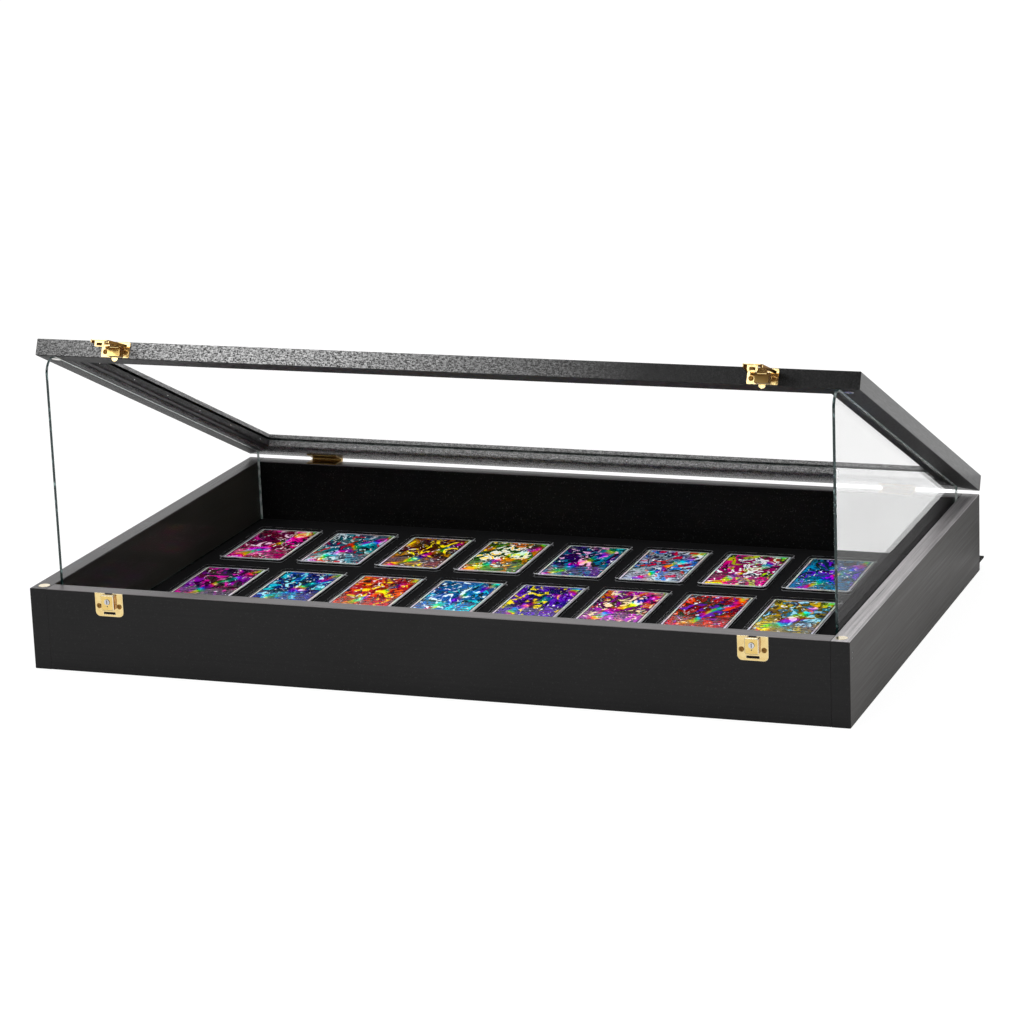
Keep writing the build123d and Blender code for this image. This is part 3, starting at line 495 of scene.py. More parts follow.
def eased(node, width, finish, body):
    """A copy of a solid with edges eased by a width in metres, riding on its body."""
    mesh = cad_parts[node].data.copy()
    mesh.name = node + "_eased"
    shape = bmesh.new()
    shape.from_mesh(mesh)
    bmesh.ops.remove_doubles(shape, verts=shape.verts, dist=same_place)
    bmesh.ops.dissolve_limit(
        shape, angle_limit=radians(0.5), verts=shape.verts, edges=shape.edges
    )
    shape.to_mesh(mesh)
    shape.free()
    piece = linked(node + "_eased", mesh)
    mesh.materials.clear()
    mesh.materials.append(finish)
    mesh.shade_smooth()
    bevel = piece.modifiers.new("eased_edges", "BEVEL")
    bevel.width, bevel.segments = width, 2
    bevel.limit_method, bevel.angle_limit = "ANGLE", radians(28)
    bevel.use_clamp_overlap = True
    even = piece.modifiers.new("even_faces", "WEIGHTED_NORMAL")
    even.mode, even.weight, even.keep_sharp = "FACE_AREA", 100, True
    plain_mesh(piece)
    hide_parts(node)
    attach(piece, body)
    return piece


def recoat(piece, finish, chosen):
    """Give a second finish to the faces whose normal n and middle m pass a test."""
    piece.data.materials.append(finish)
    for polygon in piece.data.polygons:
        if chosen(polygon.normal, polygon.center):
            polygon.material_index = len(piece.data.materials) - 1


print("easing helpers ready")

# %% [markdown]
# ## Boards of the tray
# Four boards are butted and nailed, with the side boards running past the ends of the
# others. So a side board shows end grain in front, which was painted like the front, and
# each top edge takes a painted sheen. Each board is one piece with two or three finishes,
# told apart by the way a face looks.

# %% Boards
board_ease, bead_ease = 0.0004, 0.0003
facing = 0.7
boards = {
    "tray_front_wall": (wood_across, rim_sheen_across),
    "tray_back_wall": (wood_back, rim_sheen_across),
    "tray_left_wall": (wood_deep, rim_painted_shade),
    "tray_right_wall": (wood_deep, rim_sheen_deep),
}
for board, (board_finish, rim_finish) in boards.items():
    made = eased(board, board_ease, board_finish, "tray")
    # the top faces take the rim's painted sheen
    recoat(made, rim_finish, lambda n, m: n.z > facing)
    if board_finish == wood_deep:
        recoat(made, wood_across, lambda n, m: n.y < -facing)
print("eased boards:", len(boards))

# %% [markdown]
# ## Rails and beads of the lid
# The lid is a mitred frame, and thin beads hold its pane from below. The rails' outer
# sides, undersides and ends catch the light in different ways, so they take copies of the
# same wood in different tones: painted sheen and painted shade. The front rail alone is
# put where the grazing lamp can see it.

# %% Rails and beads
rails = {
    "lid_front_rail": lid_wood_across,
    "lid_back_rail": lid_wood_across,
    "lid_left_rail": lid_wood_deep,
    "lid_right_rail": lid_wood_deep,
    "glazing_bead_front": lid_wood_across,
    "glazing_bead_back": lid_wood_sheen,
    "glazing_bead_left": lid_wood_deep,
    "glazing_bead_right": lid_wood_deep,
}
for rail, rail_finish in rails.items():
    bead = rail.startswith("glazing")
    made = eased(rail, bead_ease if bead else board_ease, rail_finish, "lid")
    if rail == "lid_back_rail":
        # painted sheen on the back rail's underside and forward faces
        recoat(made, lid_wood_sheen, lambda n, m: n.dot(lid_up) < -facing or n.y < -0.5)
    if rail in ("lid_left_rail", "lid_right_rail"):
        # painted sheen on the side rails' sides
        recoat(made, lid_wood_side, lambda n, m: abs(n.x) > facing)
        recoat(made, lid_wood_across, lambda n, m: n.dot(lid_back) < -facing)
    if rail == "lid_front_rail":
        lit_rails = bpy.data.collections.new("lit_by_grain_lamp")
        lit_rails.objects.link(made)
        grain_lamp.light_linking.receiver_collection = lit_rails
        recoat(made, lid_wood_under, lambda n, m: n.dot(lid_up) < -facing)
print("rails and beads:", len(rails))

# %% [markdown]
# ## Cloth on the deck
# The deck is a board covered with thin black cloth, so that cards lie on something soft
# and dark. A short pile hardly mirrors anything. Two crossed waves give the threads, a
# noise gives loose fibres, and a little sheen lifts it where it is seen edge on.

# %% Deck cloth
cloth, cloth_tree, cloth_shader = new_finish(
    "deck_cloth",
    **{"Roughness": 0.95, "Specular IOR Level": 0.04, "Sheen Weight": 0.01, "Sheen Roughness": 0.5},
)
cloth_space = pattern_space(cloth_tree)
thread = {"Scale": 420.0, "Distortion": 2.5}
warp = add(cloth_tree, "ShaderNodeTexWave", thread, bands_direction="X")
weft = add(cloth_tree, "ShaderNodeTexWave", thread, bands_direction="Y")
fibres = add(cloth_tree, "ShaderNodeTexNoise", {"Scale": 900.0, "Detail": 3.0})
for pattern in (warp, weft, fibres):
    join(cloth_tree, cloth_space, "Vector", pattern, "Vector")
weave = add(cloth_tree, "ShaderNodeMath", operation="MULTIPLY")
join(cloth_tree, warp, "Fac", weave, 0)
join(cloth_tree, weft, "Fac", weave, 1)
cloth_step = blend_between(cloth_tree, fibres, "Fac", 0.3, 0.72, 0.0, 1.0)
two_tones(
    cloth_tree, cloth_shader, cloth_step, "Result", (0.0030, 0.0030, 0.0034, 1), (0.0095, 0.0095, 0.0102, 1)
)
raise_pattern(cloth_tree, cloth_shader, weave, "Value", 0.12, 0.0001)


def coat_node(node, finish):
    """Give a solid that stays in view its finish."""
    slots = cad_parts[node].data.materials
    if not slots:
        slots.append(finish)
    for number in range(len(slots)):
        slots[number] = finish
    print(finish.name, "on", node)


coat_node("deck_fabric", cloth)

# %% [markdown]
# ## Plain boards out of sight
# The underside, the deck's core and the thin lip at the back are raw or only stained.
# They still get a finish of their own, because a part is turned over and looked at.
# Fibreboard is a felt of short fibres: a stretched noise under a fine one.

# %% Hidden boards
def fibreboard(name, dark, pale, fine):
    """Pressed fibres: two noises, one of them fine."""
    finish, tree, shader = new_finish(name, **{"Roughness": 0.75, "Specular IOR Level": 0.3})
    space = pattern_space(tree, straight, (1, 1.6, 1))
    coarse = noise_over(tree, space, 60.0, 6.0)
    small = noise_over(tree, space, fine, 4.0, 0.7)
    both = add(tree, "ShaderNodeMath", operation="MULTIPLY")
    join(tree, coarse, "Fac", both, 0)
    join(tree, small, "Fac", both, 1)
    step = blend_between(tree, both, "Value", 0.12, 0.42, 0.0, 1.0)
    two_tones(tree, shader, step, "Result", (*dark, 1), (*pale, 1))
    raise_pattern(tree, shader, small, "Fac", 0.5, 0.0002)
    return finish


hardboard = fibreboard("brown_hardboard", (0.075, 0.042, 0.022), (0.17, 0.105, 0.06), 700.0)
core_board = fibreboard("deck_core", (0.12, 0.09, 0.06), (0.24, 0.18, 0.12), 500.0)
lip_board = fibreboard("stained_lip", (0.006, 0.006, 0.006), (0.02, 0.019, 0.018), 650.0)
coat_node("tray_bottom_panel", hardboard)
coat_node("deck_board", core_board)
coat_node("rear_lip", lip_board)

# %% [markdown]
# ## Clear glass
# Two loose panes close the ends of the raised lid and a large one fills the lid. Clear
# glass is mostly light that goes straight through, with a small even share mirrored
# back, and the ends' panes are a slightly smoky sheet. It is known by its edges, which
# trap light inside. That light is painted on: edges that look forward or up are painted
# dark teal, as painted shade, and those at the back pale, as painted light.

# %% Glass recipe
def clear_sheet(name, share, mirrored, rough=0.0):
    """A thin sheet: the share that isn't let straight through is mirrored or held back."""
    finish, tree, shader = new_finish(name, **{"Metallic": 1.0, "Alpha": share})
    space = pattern_space(tree)
    film = noise_over(tree, space, 14.0, 4.0, 0.6)
    low, high = mirrored * 0.94, min(1.0, mirrored * 1.06)
    tone_step = blend_between(tree, film, "Fac", 0.3, 0.7, 0.0, 1.0)
    two_tones(tree, shader, tone_step, "Result", (low, low, low, 1), (high * 0.985, high, high * 0.995, 1))
    rough_step = blend_between(tree, film, "Fac", 0.3, 0.7, rough, rough + 0.02)
    join(tree, rough_step, "Result", shader, "Roughness")
    return finish


def ground_edge(name, deep, pale, low, high):
    """An edge of a sheet, painted dark or pale for the light trapped inside, with bright chips where the
    stone has cut it.
    """
    finish, tree, shader = new_finish(name, **{"Roughness": 0.18, "Specular IOR Level": 0.6})
    space = pattern_space(tree, straight, (1, 1, 0.5))
    chips = noise_over(tree, space, 260.0, 3.0)
    step = blend_between(tree, chips, "Fac", low, high, 0.0, 1.0)
    two_tones(tree, shader, step, "Result", (*deep, 1), (*pale, 1))
    return finish


left_sheet = clear_sheet("left_pane", 0.02, 0.6)
right_sheet = clear_sheet("right_pane", 0.125, 0.52)
lid_sheet = clear_sheet("lid_pane", 0.022, 0.6)
glass_edge_shade = ground_edge("glass_edge_painted_shade", (0.006, 0.022, 0.022), (0.20, 0.30, 0.29), 0.56, 0.70)
glass_edge_light = ground_edge("glass_edge_painted_light", (0.16, 0.24, 0.22), (0.62, 0.68, 0.66), 0.35, 0.60)
print("glass ready")

# %% [markdown]
# ## Panes and their edges
# A pane's two faces and its ground edge look nothing alike. They could be two pieces, but
# a pane is one sheet of glass, so it stays one piece and its narrow faces take an edge
# finish: the dark one, painted shade, where they look forward or up, and the pale one,
# painted light, at the back.

# %% Panes
glass_ease = 0.00035


def glass_pane(node, body, sheet):
    """A pane whose ground edges differ from its faces."""
    piece = eased(node, glass_ease, sheet, body)
    mesh = piece.data
    mesh.materials.append(glass_edge_shade)
    mesh.materials.append(glass_edge_light)
    face_way = max(mesh.polygons, key=lambda p: p.area).normal.copy()
    edges = 0
    for polygon in mesh.polygons:
        if abs(polygon.normal.dot(face_way)) < 0.9:
            # edges looking forward or up get the painted shade, the others the painted light
            polygon.material_index = 1 if polygon.normal.y < 0.2 else 2
            edges += 1
    print(node, "edge faces:", edges)
    return piece


glass_pane("side_glass_left", "tray", left_sheet)
right_pane = glass_pane("side_glass_right", "tray", right_sheet)
seen_by = bpy.data.collections.new("sees_the_bounce_card")
seen_by.objects.link(right_pane)
bounce_card.light_linking.receiver_collection = seen_by
glass_pane("lid_glass", "lid", lid_sheet)

# %% [markdown]
# ## Polished brass
# The locks, hasps and hinges are pressed brass, buffed bright and lacquered. Polished
# metal is mostly what it mirrors. Its own part is a pale gold colour, a slight ripple
# from the press, fine buffing lines, and a tone that wanders a little towards brown.

# %% Metal recipe
def metal(name, colour, deep, rough, ripple=0.12):
    """Buffed metal with a soft ripple and fine uneven buffing."""
    finish, tree, shader = new_finish(name, **{"Metallic": 1.0})
    space = pattern_space(tree)
    swell = noise_over(tree, space, 160.0, 2.0)
    buff = noise_over(tree, space, 900.0, 4.0, 0.7)
    step = blend_between(tree, swell, "Fac", 0.38, 0.62, 0.0, 0.35)
    two_tones(tree, shader, step, "Result", (*colour, 1), (*deep, 1))
    rough_step = blend_between(tree, buff, "Fac", 0.3, 0.7, rough * 0.7, rough * 1.4)
    join(tree, rough_step, "Result", shader, "Roughness")
    both = add(tree, "ShaderNodeMath", {1: 0.15}, operation="MULTIPLY_ADD")
    join(tree, buff, "Fac", both, 0)
    join(tree, swell, "Fac", both, 2)
    raise_pattern(tree, shader, both, "Value", ripple, 0.0006)
    return finish


brass = metal("buffed_brass", (0.92, 0.72, 0.34), (0.74, 0.47, 0.14), 0.16, ripple=0.25)
edge_highlight_brass = metal("painted_edge_highlight", (0.99, 0.93, 0.74), (0.96, 0.84, 0.56), 0.14)
box_brass = metal("box_brass", (0.90, 0.66, 0.24), (0.76, 0.48, 0.12), 0.20, ripple=0.3)
shade_brass = metal("painted_shade_brass", (0.46, 0.23, 0.045), (0.20, 0.085, 0.015), 0.24)
box_shade_brass = metal("box_shade_brass", (0.34, 0.22, 0.075), (0.24, 0.145, 0.045), 0.42)
# the hinges are a darker brass than the plates
hinge_brass = metal("dark_hinge_brass", (0.50, 0.33, 0.11), (0.26, 0.15, 0.05), 0.30)
dark_brass = metal("darkened_brass", (0.36, 0.19, 0.05), (0.16, 0.08, 0.02), 0.34)
bright_steel = metal("bright_steel", (0.70, 0.70, 0.72), (0.40, 0.40, 0.42), 0.18, ripple=0.4)
bolt_steel_and_keyway_shade = metal("bolt_steel_and_keyway_shade", (0.030, 0.028, 0.025), (0.012, 0.011, 0.010), 0.45)
nail_steel = metal("bright_nail_steel", (0.78, 0.78, 0.80), (0.50, 0.50, 0.52), 0.25)
cream_brass = metal("cream_brass", (0.95, 0.86, 0.66), (0.86, 0.70, 0.42), 0.20)
magnet_nickel = metal("magnet_nickel", (0.80, 0.78, 0.74), (0.62, 0.60, 0.56), 0.16)
print("metals ready, from", brass.name, "to", magnet_nickel.name)

# %% [markdown]
# ## Locks, hasps and hinges
# Each end has the same set: a lock plate on the tray, a catch plate and its hasp on the
# lid, a key plug, and a hinge of two leaves. A pressed plate shows three tones: its flat
# front, a painted highlight on its eased edges, and painted shade, a dark brown, on its
# sides and undersides. The catch box on the right end is painted darker as shade, and the
# key plug's keyway is painted near black as the shade inside it. So each part starts in
# one finish, and some faces get another by the way they look.

# %% Fittings
square_on = 0.97
tray_axes = (to_right, Vector((0, 1, 0)), Vector((0, 0, 1)))
lid_axes = (to_right, lid_back, lid_up)


def slanting(normal, axes, limit=square_on):
    """True where a face looks along none of the axes, as an eased edge does."""
    return max(abs(normal.dot(axis)) for axis in axes) < limit


for end in ("left", "right"):
    lock = eased("lock_plate_" + end, 0.0003, brass, "tray")
    lock_front = min(corner.co.y for corner in lock.data.vertices)
    # painted highlight on the eased edges
    recoat(lock, edge_highlight_brass, lambda n, m: slanting(n, tray_axes))
    recoat(lock, box_brass, lambda n, m: n.y < -0.98 and m.y < lock_front + 0.0004)
    # painted shade on the sides and undersides
    recoat(lock, shade_brass, lambda n, m: abs(n.x) > square_on or n.z < -square_on)
    catch = eased("catch_plate_" + end, 0.0003, brass, "lid")
    catch_front = min(corner.co.dot(lid_back) for corner in catch.data.vertices)
    # the right catch box gets a darker copy: painted shade
    box_finish = box_brass if end == "left" else box_shade_brass
    recoat(catch, edge_highlight_brass, lambda n, m: slanting(n, lid_axes))
    box_limit = catch_front + 0.0006
    recoat(catch, box_finish, lambda n, m: n.dot(lid_back) < -0.9 and m.dot(lid_back) < box_limit)
    recoat(catch, shade_brass, lambda n, m: abs(n.x) > square_on or n.dot(lid_up) < -square_on)
    hasp = eased("hasp_" + end, 0.00022, brass, "hasp_" + end)
    # hasp: painted highlight on upward eased edges, painted shade on its sides and underside
    recoat(hasp, edge_highlight_brass, lambda n, m: slanting(n, tray_axes, 0.9) and n.z > 0)
    recoat(hasp, shade_brass, lambda n, m: abs(n.x) > 0.7 or n.z < -0.5)
    plug = eased("lock_plug_" + end, 0.0001, bright_steel, "lock_plug_" + end)
    plug_front = min(corner.co.y for corner in plug.data.vertices)
    # the keyway's faces behind the plug's front take the near-black steel: painted shade inside the keyway
    recoat(plug, bolt_steel_and_keyway_shade, lambda n, m: m.y > plug_front + 0.0004)
    eased("hinge_tray_leaf_" + end, 0.00015, hinge_brass, "tray")
    eased("hinge_lid_leaf_" + end, 0.00015, hinge_brass, "lid")
    coat_node("lock_bolt_" + end, bolt_steel_and_keyway_shade)
coat_node("hinge_pins", hinge_brass)
coat_node("hasp_pins", brass)
eased("rim_strike_discs", 0.0002, cream_brass, "tray")
eased("lid_magnets", 0.0002, magnet_nickel, "lid")
print("metal fittings finished")

# %% [markdown]
# ## Where the small pieces sit
# The solids hold many small bodies to a node: screws, brads, cards. Their places could be
# typed again, but they would drift from the solids, so they are read off them. Each body
# is an island of joined corners, and its tip is its middle at its outermost level.

# %% Points from solids
def islands(node):
    """The separate bodies in a solid group, each as a list of its corners."""
    shape = bmesh.new()
    shape.from_mesh(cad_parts[node].data)
    bmesh.ops.remove_doubles(shape, verts=shape.verts, dist=same_place)
    seen, found = set(), []
    for first in shape.verts:
        if first in seen:
            continue
        seen.add(first)
        queue, group = [first], []
        while queue:
            corner = queue.pop()
            group.append(corner.co.copy())
            for edge in corner.link_edges:
                other = edge.other_vert(corner)
                if other not in seen:
                    seen.add(other)
                    queue.append(other)
        found.append(group)
    shape.free()
    return found


def middle_of(group):
    """The mean of a body's corners."""
    return sum(group, Vector()) / len(group)


def tip(group, out):
    """A body's middle, at its highest level along the outward direction."""
    middle = middle_of(group)
    return middle + out * (max(corner.dot(out) for corner in group) - middle.dot(out))


print("lock screws:", len(islands("lock_screws")))

# %% [markdown]
# ## Trees that set copies
# Geometry Nodes is a recipe that Blender runs on a mesh. Here the mesh is a few points,
# and the tree sets a small piece on each, along the direction the point carries. A
# seeded random turn keeps the pieces from lining up. A tree has named inputs, such as the
# finish and the seed, so one tree can serve many jobs.

# %% Tree helpers
def new_tree(name, inputs):
    """A geometry tree with named inputs and one geometry in and out."""
    tree = bpy.data.node_groups.new(name, "GeometryNodeTree")
    tree.interface.new_socket("Geometry", in_out="INPUT", socket_type="NodeSocketGeometry")
    tree.interface.new_socket("Geometry", in_out="OUTPUT", socket_type="NodeSocketGeometry")
    for label, kind, value in inputs:
        made = tree.interface.new_socket(label, in_out="INPUT", socket_type="NodeSocket" + kind)
        if value is not None:
            made.default_value = value
    start = tree.nodes.new("NodeGroupInput")
    end = tree.nodes.new("NodeGroupOutput")
    return tree, start, end


def realised(tree, start, copies):
    """Make copies into real mesh and give it the finish asked for."""
    real = add(tree, "GeometryNodeRealizeInstances")
    join(tree, copies, "Instances", real, "Geometry")
    coat = add(tree, "GeometryNodeSetMaterial")
    join(tree, real, "Geometry", coat, "Geometry")
    join(tree, start, "Finish", coat, "Material")
    return coat


def place_and_end(tree, start, end, mesh_node, mesh_output):
    """Set one copy on every point, along its direction, realised and finished."""
    copies = add(tree, "GeometryNodeInstanceOnPoints")
    join(tree, start, "Geometry", copies, "Points")
    join(tree, mesh_node, mesh_output, copies, "Instance")
    way = add(tree, "GeometryNodeInputNamedAttribute", {"Name": "out"}, data_type="FLOAT_VECTOR")
    chance = add(tree, "FunctionNodeRandomValue", data_type="FLOAT")
    for socket in chance.inputs:
        if socket.type == "VALUE" and socket.name == "Max":
            socket.default_value = pi
    join(tree, start, "Seed", chance, "Seed")
    combine = add(tree, "ShaderNodeCombineXYZ")
    number = next(i for i, s in enumerate(chance.outputs) if s.type == "VALUE" and s.enabled)
    tree.links.new(chance.outputs[number], combine.inputs["Z"])
    spin = add(tree, "FunctionNodeEulerToRotation")
    join(tree, combine, "Vector", spin, "Euler")
    aim = add(tree, "FunctionNodeAlignRotationToVector", axis="Z")
    join(tree, spin, "Rotation", aim, "Rotation")
    join(tree, way, "Attribute", aim, "Vector")
    join(tree, aim, "Rotation", copies, "Rotation")
    join(tree, realised(tree, start, copies), "Geometry", end, "Geometry")


print("tree helpers ready")

# %% [markdown]
# ## Cross-head screws
# Sixteen screws hold the fittings, in two heads: raised on the locks and flat in the
# hinges. A cross cut into the solid's head would need a Boolean per screw. Instead one
# screw is turned up from rings, and the ring of its top is joined to a crossed recess.

# %% Screw blanks
def keep_shape(name, shape):
    """Store a built shape as an object that a tree can copy."""
    mesh = bpy.data.meshes.new(name)
    shape.to_mesh(mesh)
    shape.free()
    return linked(name, mesh)


def screw_blank(name, top_radius, dome_height):
    """One screw, its head's rim at height 0, with a crossed recess in its top."""
    head_radius, shank_radius, cone_height, length = 0.0027, 0.0012, 0.001, 0.011
    half_width, half_length, recess = 0.00038, 0.0015, 0.0009
    shape = bmesh.new()
    profile = (
        (shank_radius, -length),
        (shank_radius, -cone_height),
        (head_radius, 0.0),
        ((head_radius + top_radius) / 2 + dome_height * 0.1, dome_height * 0.65),
        (top_radius, dome_height),
    )
    steps = 24
    turns = [2 * pi * k / steps for k in range(steps)]
    rings = []
    for radius, height in profile:
        rings.append([shape.verts.new((radius * cos(t), radius * sin(t), height)) for t in turns])
    for low, high in zip(rings, rings[1:]):
        for k in range(steps):
            shape.faces.new((low[k - 1], low[k], high[k], high[k - 1]))
    shape.faces.new(rings[0][::-1])
    a, b = half_width, half_length
    cross = [(a, a), (a, b), (-a, b), (-a, a), (-b, a), (-b, -a)]
    cross += [(-x, -y) for x, y in cross]
    upper = [shape.verts.new((x, y, dome_height)) for x, y in cross]
    lower = [shape.verts.new((x, y, dome_height - recess)) for x, y in cross]
    for k in range(len(cross)):
        shape.faces.new((upper[k - 1], upper[k], lower[k], lower[k - 1]))
    shape.faces.new(lower)
    corners = rings[-1] + upper
    outlines = [[c.co for c in rings[-1]], [c.co for c in upper]]
    for triangle in tessellate_polygon(outlines):
        shape.faces.new([corners[number] for number in triangle])
    bmesh.ops.recalc_face_normals(shape, faces=shape.faces)
    for face in shape.faces:
        face.smooth = True
    return keep_shape(name, shape)


raised_dome, flat_dome = 0.0008, 0.00012
raised_screw = screw_blank("raised_screw", 0.0017, raised_dome)
flat_screw = screw_blank("flat_screw", 0.0025, flat_dome)
print("screw faces:", len(raised_screw.data.polygons), len(flat_screw.data.polygons))

# %% [markdown]
# ## Running a tree
# A tree does nothing until a modifier runs it on a mesh. So the places become a mesh of
# loose points, the modifier gets its values, and what it makes is kept as plain mesh,
# which any other program can read.

# %% Run a tree
def point_piece(name, points):
    """An object of loose points, for a tree to work on."""
    mesh = bpy.data.meshes.new(name)
    mesh.from_pydata([tuple(point) for point in points], [], [])
    return linked(name, mesh)


def run_tree(piece, tree, values):
    """Run a tree with its inputs given by name, and keep the mesh it makes."""
    maker = piece.modifiers.new("maker", "NODES")
    maker.node_group = tree
    for socket in tree.interface.items_tree:
        if socket.item_type == "SOCKET" and socket.in_out == "INPUT" and socket.name in values:
            maker[socket.identifier] = values[socket.name]
    plain_mesh(piece)


print("ready to run a tree")

# %% [markdown]
# ## Driving the screws
# The tree copies a blank onto every screw's tip and turns it about its own axis. The
# points are lowered by the height of the dome, so that the tops end level with the
# solids. The blanks are taken away once the meshes are kept.

# %% Set the screws
screw_inputs = [
    ("Blank", "Object", None),
    ("Seed", "Int", 3),
    ("Finish", "Material", None),
]
screw_tree, screw_start, screw_end = new_tree("set_screws", screw_inputs)
screw_blank_info = add(screw_tree, "GeometryNodeObjectInfo", transform_space="ORIGINAL")
join(screw_tree, screw_start, "Blank", screw_blank_info, "Object")
place_and_end(screw_tree, screw_start, screw_end, screw_blank_info, "Geometry")


def scatter(name, tree, points, ways, body, node, values):
    """Points, each with its direction, run through a tree into one mesh."""
    piece = point_piece(name, points)
    direction = piece.data.attributes.new("out", "FLOAT_VECTOR", "POINT")
    for number, way in enumerate(ways):
        direction.data[number].vector = way
    run_tree(piece, tree, values)
    piece.data.set_sharp_from_angle(angle=radians(40))
    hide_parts(node)
    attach(piece, body)
    print(name, len(points), "copies,", len(piece.data.polygons), "faces")


to_front, upward = Vector((0, -1, 0)), Vector((0, 0, 1))
screw_jobs = (
    ("lock_screw_heads", "lock_screws", to_front, "tray", raised_screw, raised_dome, 3),
    ("catch_screw_heads", "catch_screws", -lid_back, "lid", raised_screw, raised_dome, 5),
    ("tray_hinge_screw_heads", "hinge_tray_screws", upward, "tray", flat_screw, flat_dome, 7),
    ("lid_hinge_screw_heads", "hinge_lid_screws", -lid_up, "lid", flat_screw, flat_dome, 9),
)
for piece_name, node, out, body, blank, dome, seed in screw_jobs:
    heads = [tip(group, out) - out * dome for group in islands(node)]
    values = {"Blank": blank, "Seed": seed, "Finish": dark_brass}
    scatter(piece_name, screw_tree, heads, [out] * len(heads), body, node, values)
for used in (raised_screw, flat_screw):
    bpy.data.objects.remove(used)

# %% [markdown]
# ## Brads and corner nails
# The glazing beads are pinned all round with small bright brads and the tray's corners
# with thin nails. Both are a slim round shank with a low domed head. A nail is simpler
# than a screw, so this tree makes the shape itself, from a flattened ball and a cylinder,
# and its inputs give the sizes.

# %% Nail tree
def times(tree, source, factor):
    """An output for a value multiplied by a number."""
    product = add(tree, "ShaderNodeMath", {1: factor}, operation="MULTIPLY")
    tree.links.new(source, product.inputs[0])
    return product.outputs[0]


nail_inputs = [
    ("Head radius", "Float", 0.0009),
    ("Length", "Float", 0.012),
    ("Seed", "Int", 1),
    ("Finish", "Material", None),
]
nail_tree, nail_start, nail_end = new_tree("small_nail", nail_inputs)
nail_head = add(nail_tree, "GeometryNodeMeshUVSphere", {"Segments": 16, "Rings": 8})
join(nail_tree, nail_start, "Head radius", nail_head, "Radius")
flat_head = add(nail_tree, "GeometryNodeTransform", {"Scale": (1, 1, 0.45)})
join(nail_tree, nail_head, "Mesh", flat_head, "Geometry")
nail_shank = add(nail_tree, "GeometryNodeMeshCylinder", {"Vertices": 10})
shank_radius = times(nail_tree, nail_start.outputs["Head radius"], 0.62)
nail_tree.links.new(shank_radius, nail_shank.inputs["Radius"])
join(nail_tree, nail_start, "Length", nail_shank, "Depth")
half_down = times(nail_tree, nail_start.outputs["Length"], -0.5)
nail_drop = add(nail_tree, "ShaderNodeCombineXYZ")
nail_tree.links.new(half_down, nail_drop.inputs["Z"])
low_shank = add(nail_tree, "GeometryNodeTransform")
join(nail_tree, nail_shank, "Mesh", low_shank, "Geometry")
join(nail_tree, nail_drop, "Vector", low_shank, "Translation")
nail = add(nail_tree, "GeometryNodeJoinGeometry")
join(nail_tree, low_shank, "Geometry", nail, "Geometry")
join(nail_tree, flat_head, "Geometry", nail, "Geometry")
place_and_end(nail_tree, nail_start, nail_end, nail, "Geometry")
print("nail tree nodes:", len(nail_tree.nodes))

# %% [markdown]
# ## Driving the brads and nails
# A brad lies flat in its bead, so its own long axis tells its direction, and its head is
# on the side of the pane. A corner nail goes in through a side board, so its head looks
# out to the left or the right.

# %% Set the nails
lid_middle = middle_of(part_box("lid_glass"))
brad_points, brad_ways = [], []
for group in islands("bead_pins"):
    middle = middle_of(group)
    spread = []
    for axis in (to_right, lid_back):
        reaches = [corner.dot(axis) for corner in group]
        spread.append(max(reaches) - min(reaches))
    axis = to_right if spread[0] > spread[1] else lid_back
    out = axis if (lid_middle - middle).dot(axis) > 0 else -axis
    brad_points.append(tip(group, out))
    brad_ways.append(out)
brad_values = {"Head radius": 0.0008, "Length": 0.012, "Finish": nail_steel}
scatter(
    "bead_brads", nail_tree, brad_points, brad_ways, "lid", "bead_pins", brad_values
)
nail_points, nail_ways = [], []
for group in islands("corner_pins"):
    out = to_right if middle_of(group).x > 0 else -to_right
    nail_points.append(tip(group, out))
    nail_ways.append(out)
nail_values = {"Head radius": 0.0009, "Length": 0.034, "Finish": nail_steel}
scatter(
    "corner_nails", nail_tree, nail_points, nail_ways, "tray", "corner_pins", nail_values
)

# %% [markdown]
# ## Printed foil cards
# Each card is thin board with a printed foil face: a silver rim, a picture, a band of
# small print and a rainbow sheen that runs across it. The pictures here are free
# patterns, not figures. One shader draws them all, reading the card's own UV map, and
# four inks and a number that every card carries as attributes. So no two cards match,
# and the number of materials stays at one.

# %% Print tools
card_width, card_length = 0.069, 0.1195
ink_names = ("ground", "second", "figure", "accent")
foil_print, print_tree, print_shader = new_finish("foil_print", **{"Specular IOR Level": 0.08})


def feed(socket, value):
    """Give a socket a number, a colour or another node's output."""
    if isinstance(value, tuple):
        socket.default_value = (*value, 1)
    elif isinstance(value, (int, float)):
        socket.default_value = value
    else:
        print_tree.links.new(value, socket)


def maths(operation, *values):
    """One sum on numbers or outputs, as an output."""
    made = add(print_tree, "ShaderNodeMath", operation=operation)
    for socket, value in zip(made.inputs, values):
        feed(socket, value)
    return made.outputs[0]


def step(value, low, high, floor=0.0, ceiling=1.0):
    """A soft step from floor to ceiling while a value goes from low to high."""
    ends = {"From Min": low, "From Max": high, "To Min": floor, "To Max": ceiling}
    made = add(print_tree, "ShaderNodeMapRange", ends, interpolation_type="SMOOTHSTEP")
    feed(made.inputs["Value"], value)
    return made.outputs["Result"]


def mixed(factor, first, second, blend="MIX"):
    """One colour laid over another by a factor."""
    made = add(print_tree, "ShaderNodeMix", data_type="RGBA", blend_type=blend)
    for socket, value in ((0, factor), (6, first), (7, second)):
        feed(made.inputs[socket], value)
    return made.outputs[2]


def spot_at(x, y, z):
    """A place in pattern space from three numbers or outputs."""
    made = add(print_tree, "ShaderNodeCombineXYZ")
    for label, value in (("X", x), ("Y", y), ("Z", z)):
        feed(made.inputs[label], value)
    return made


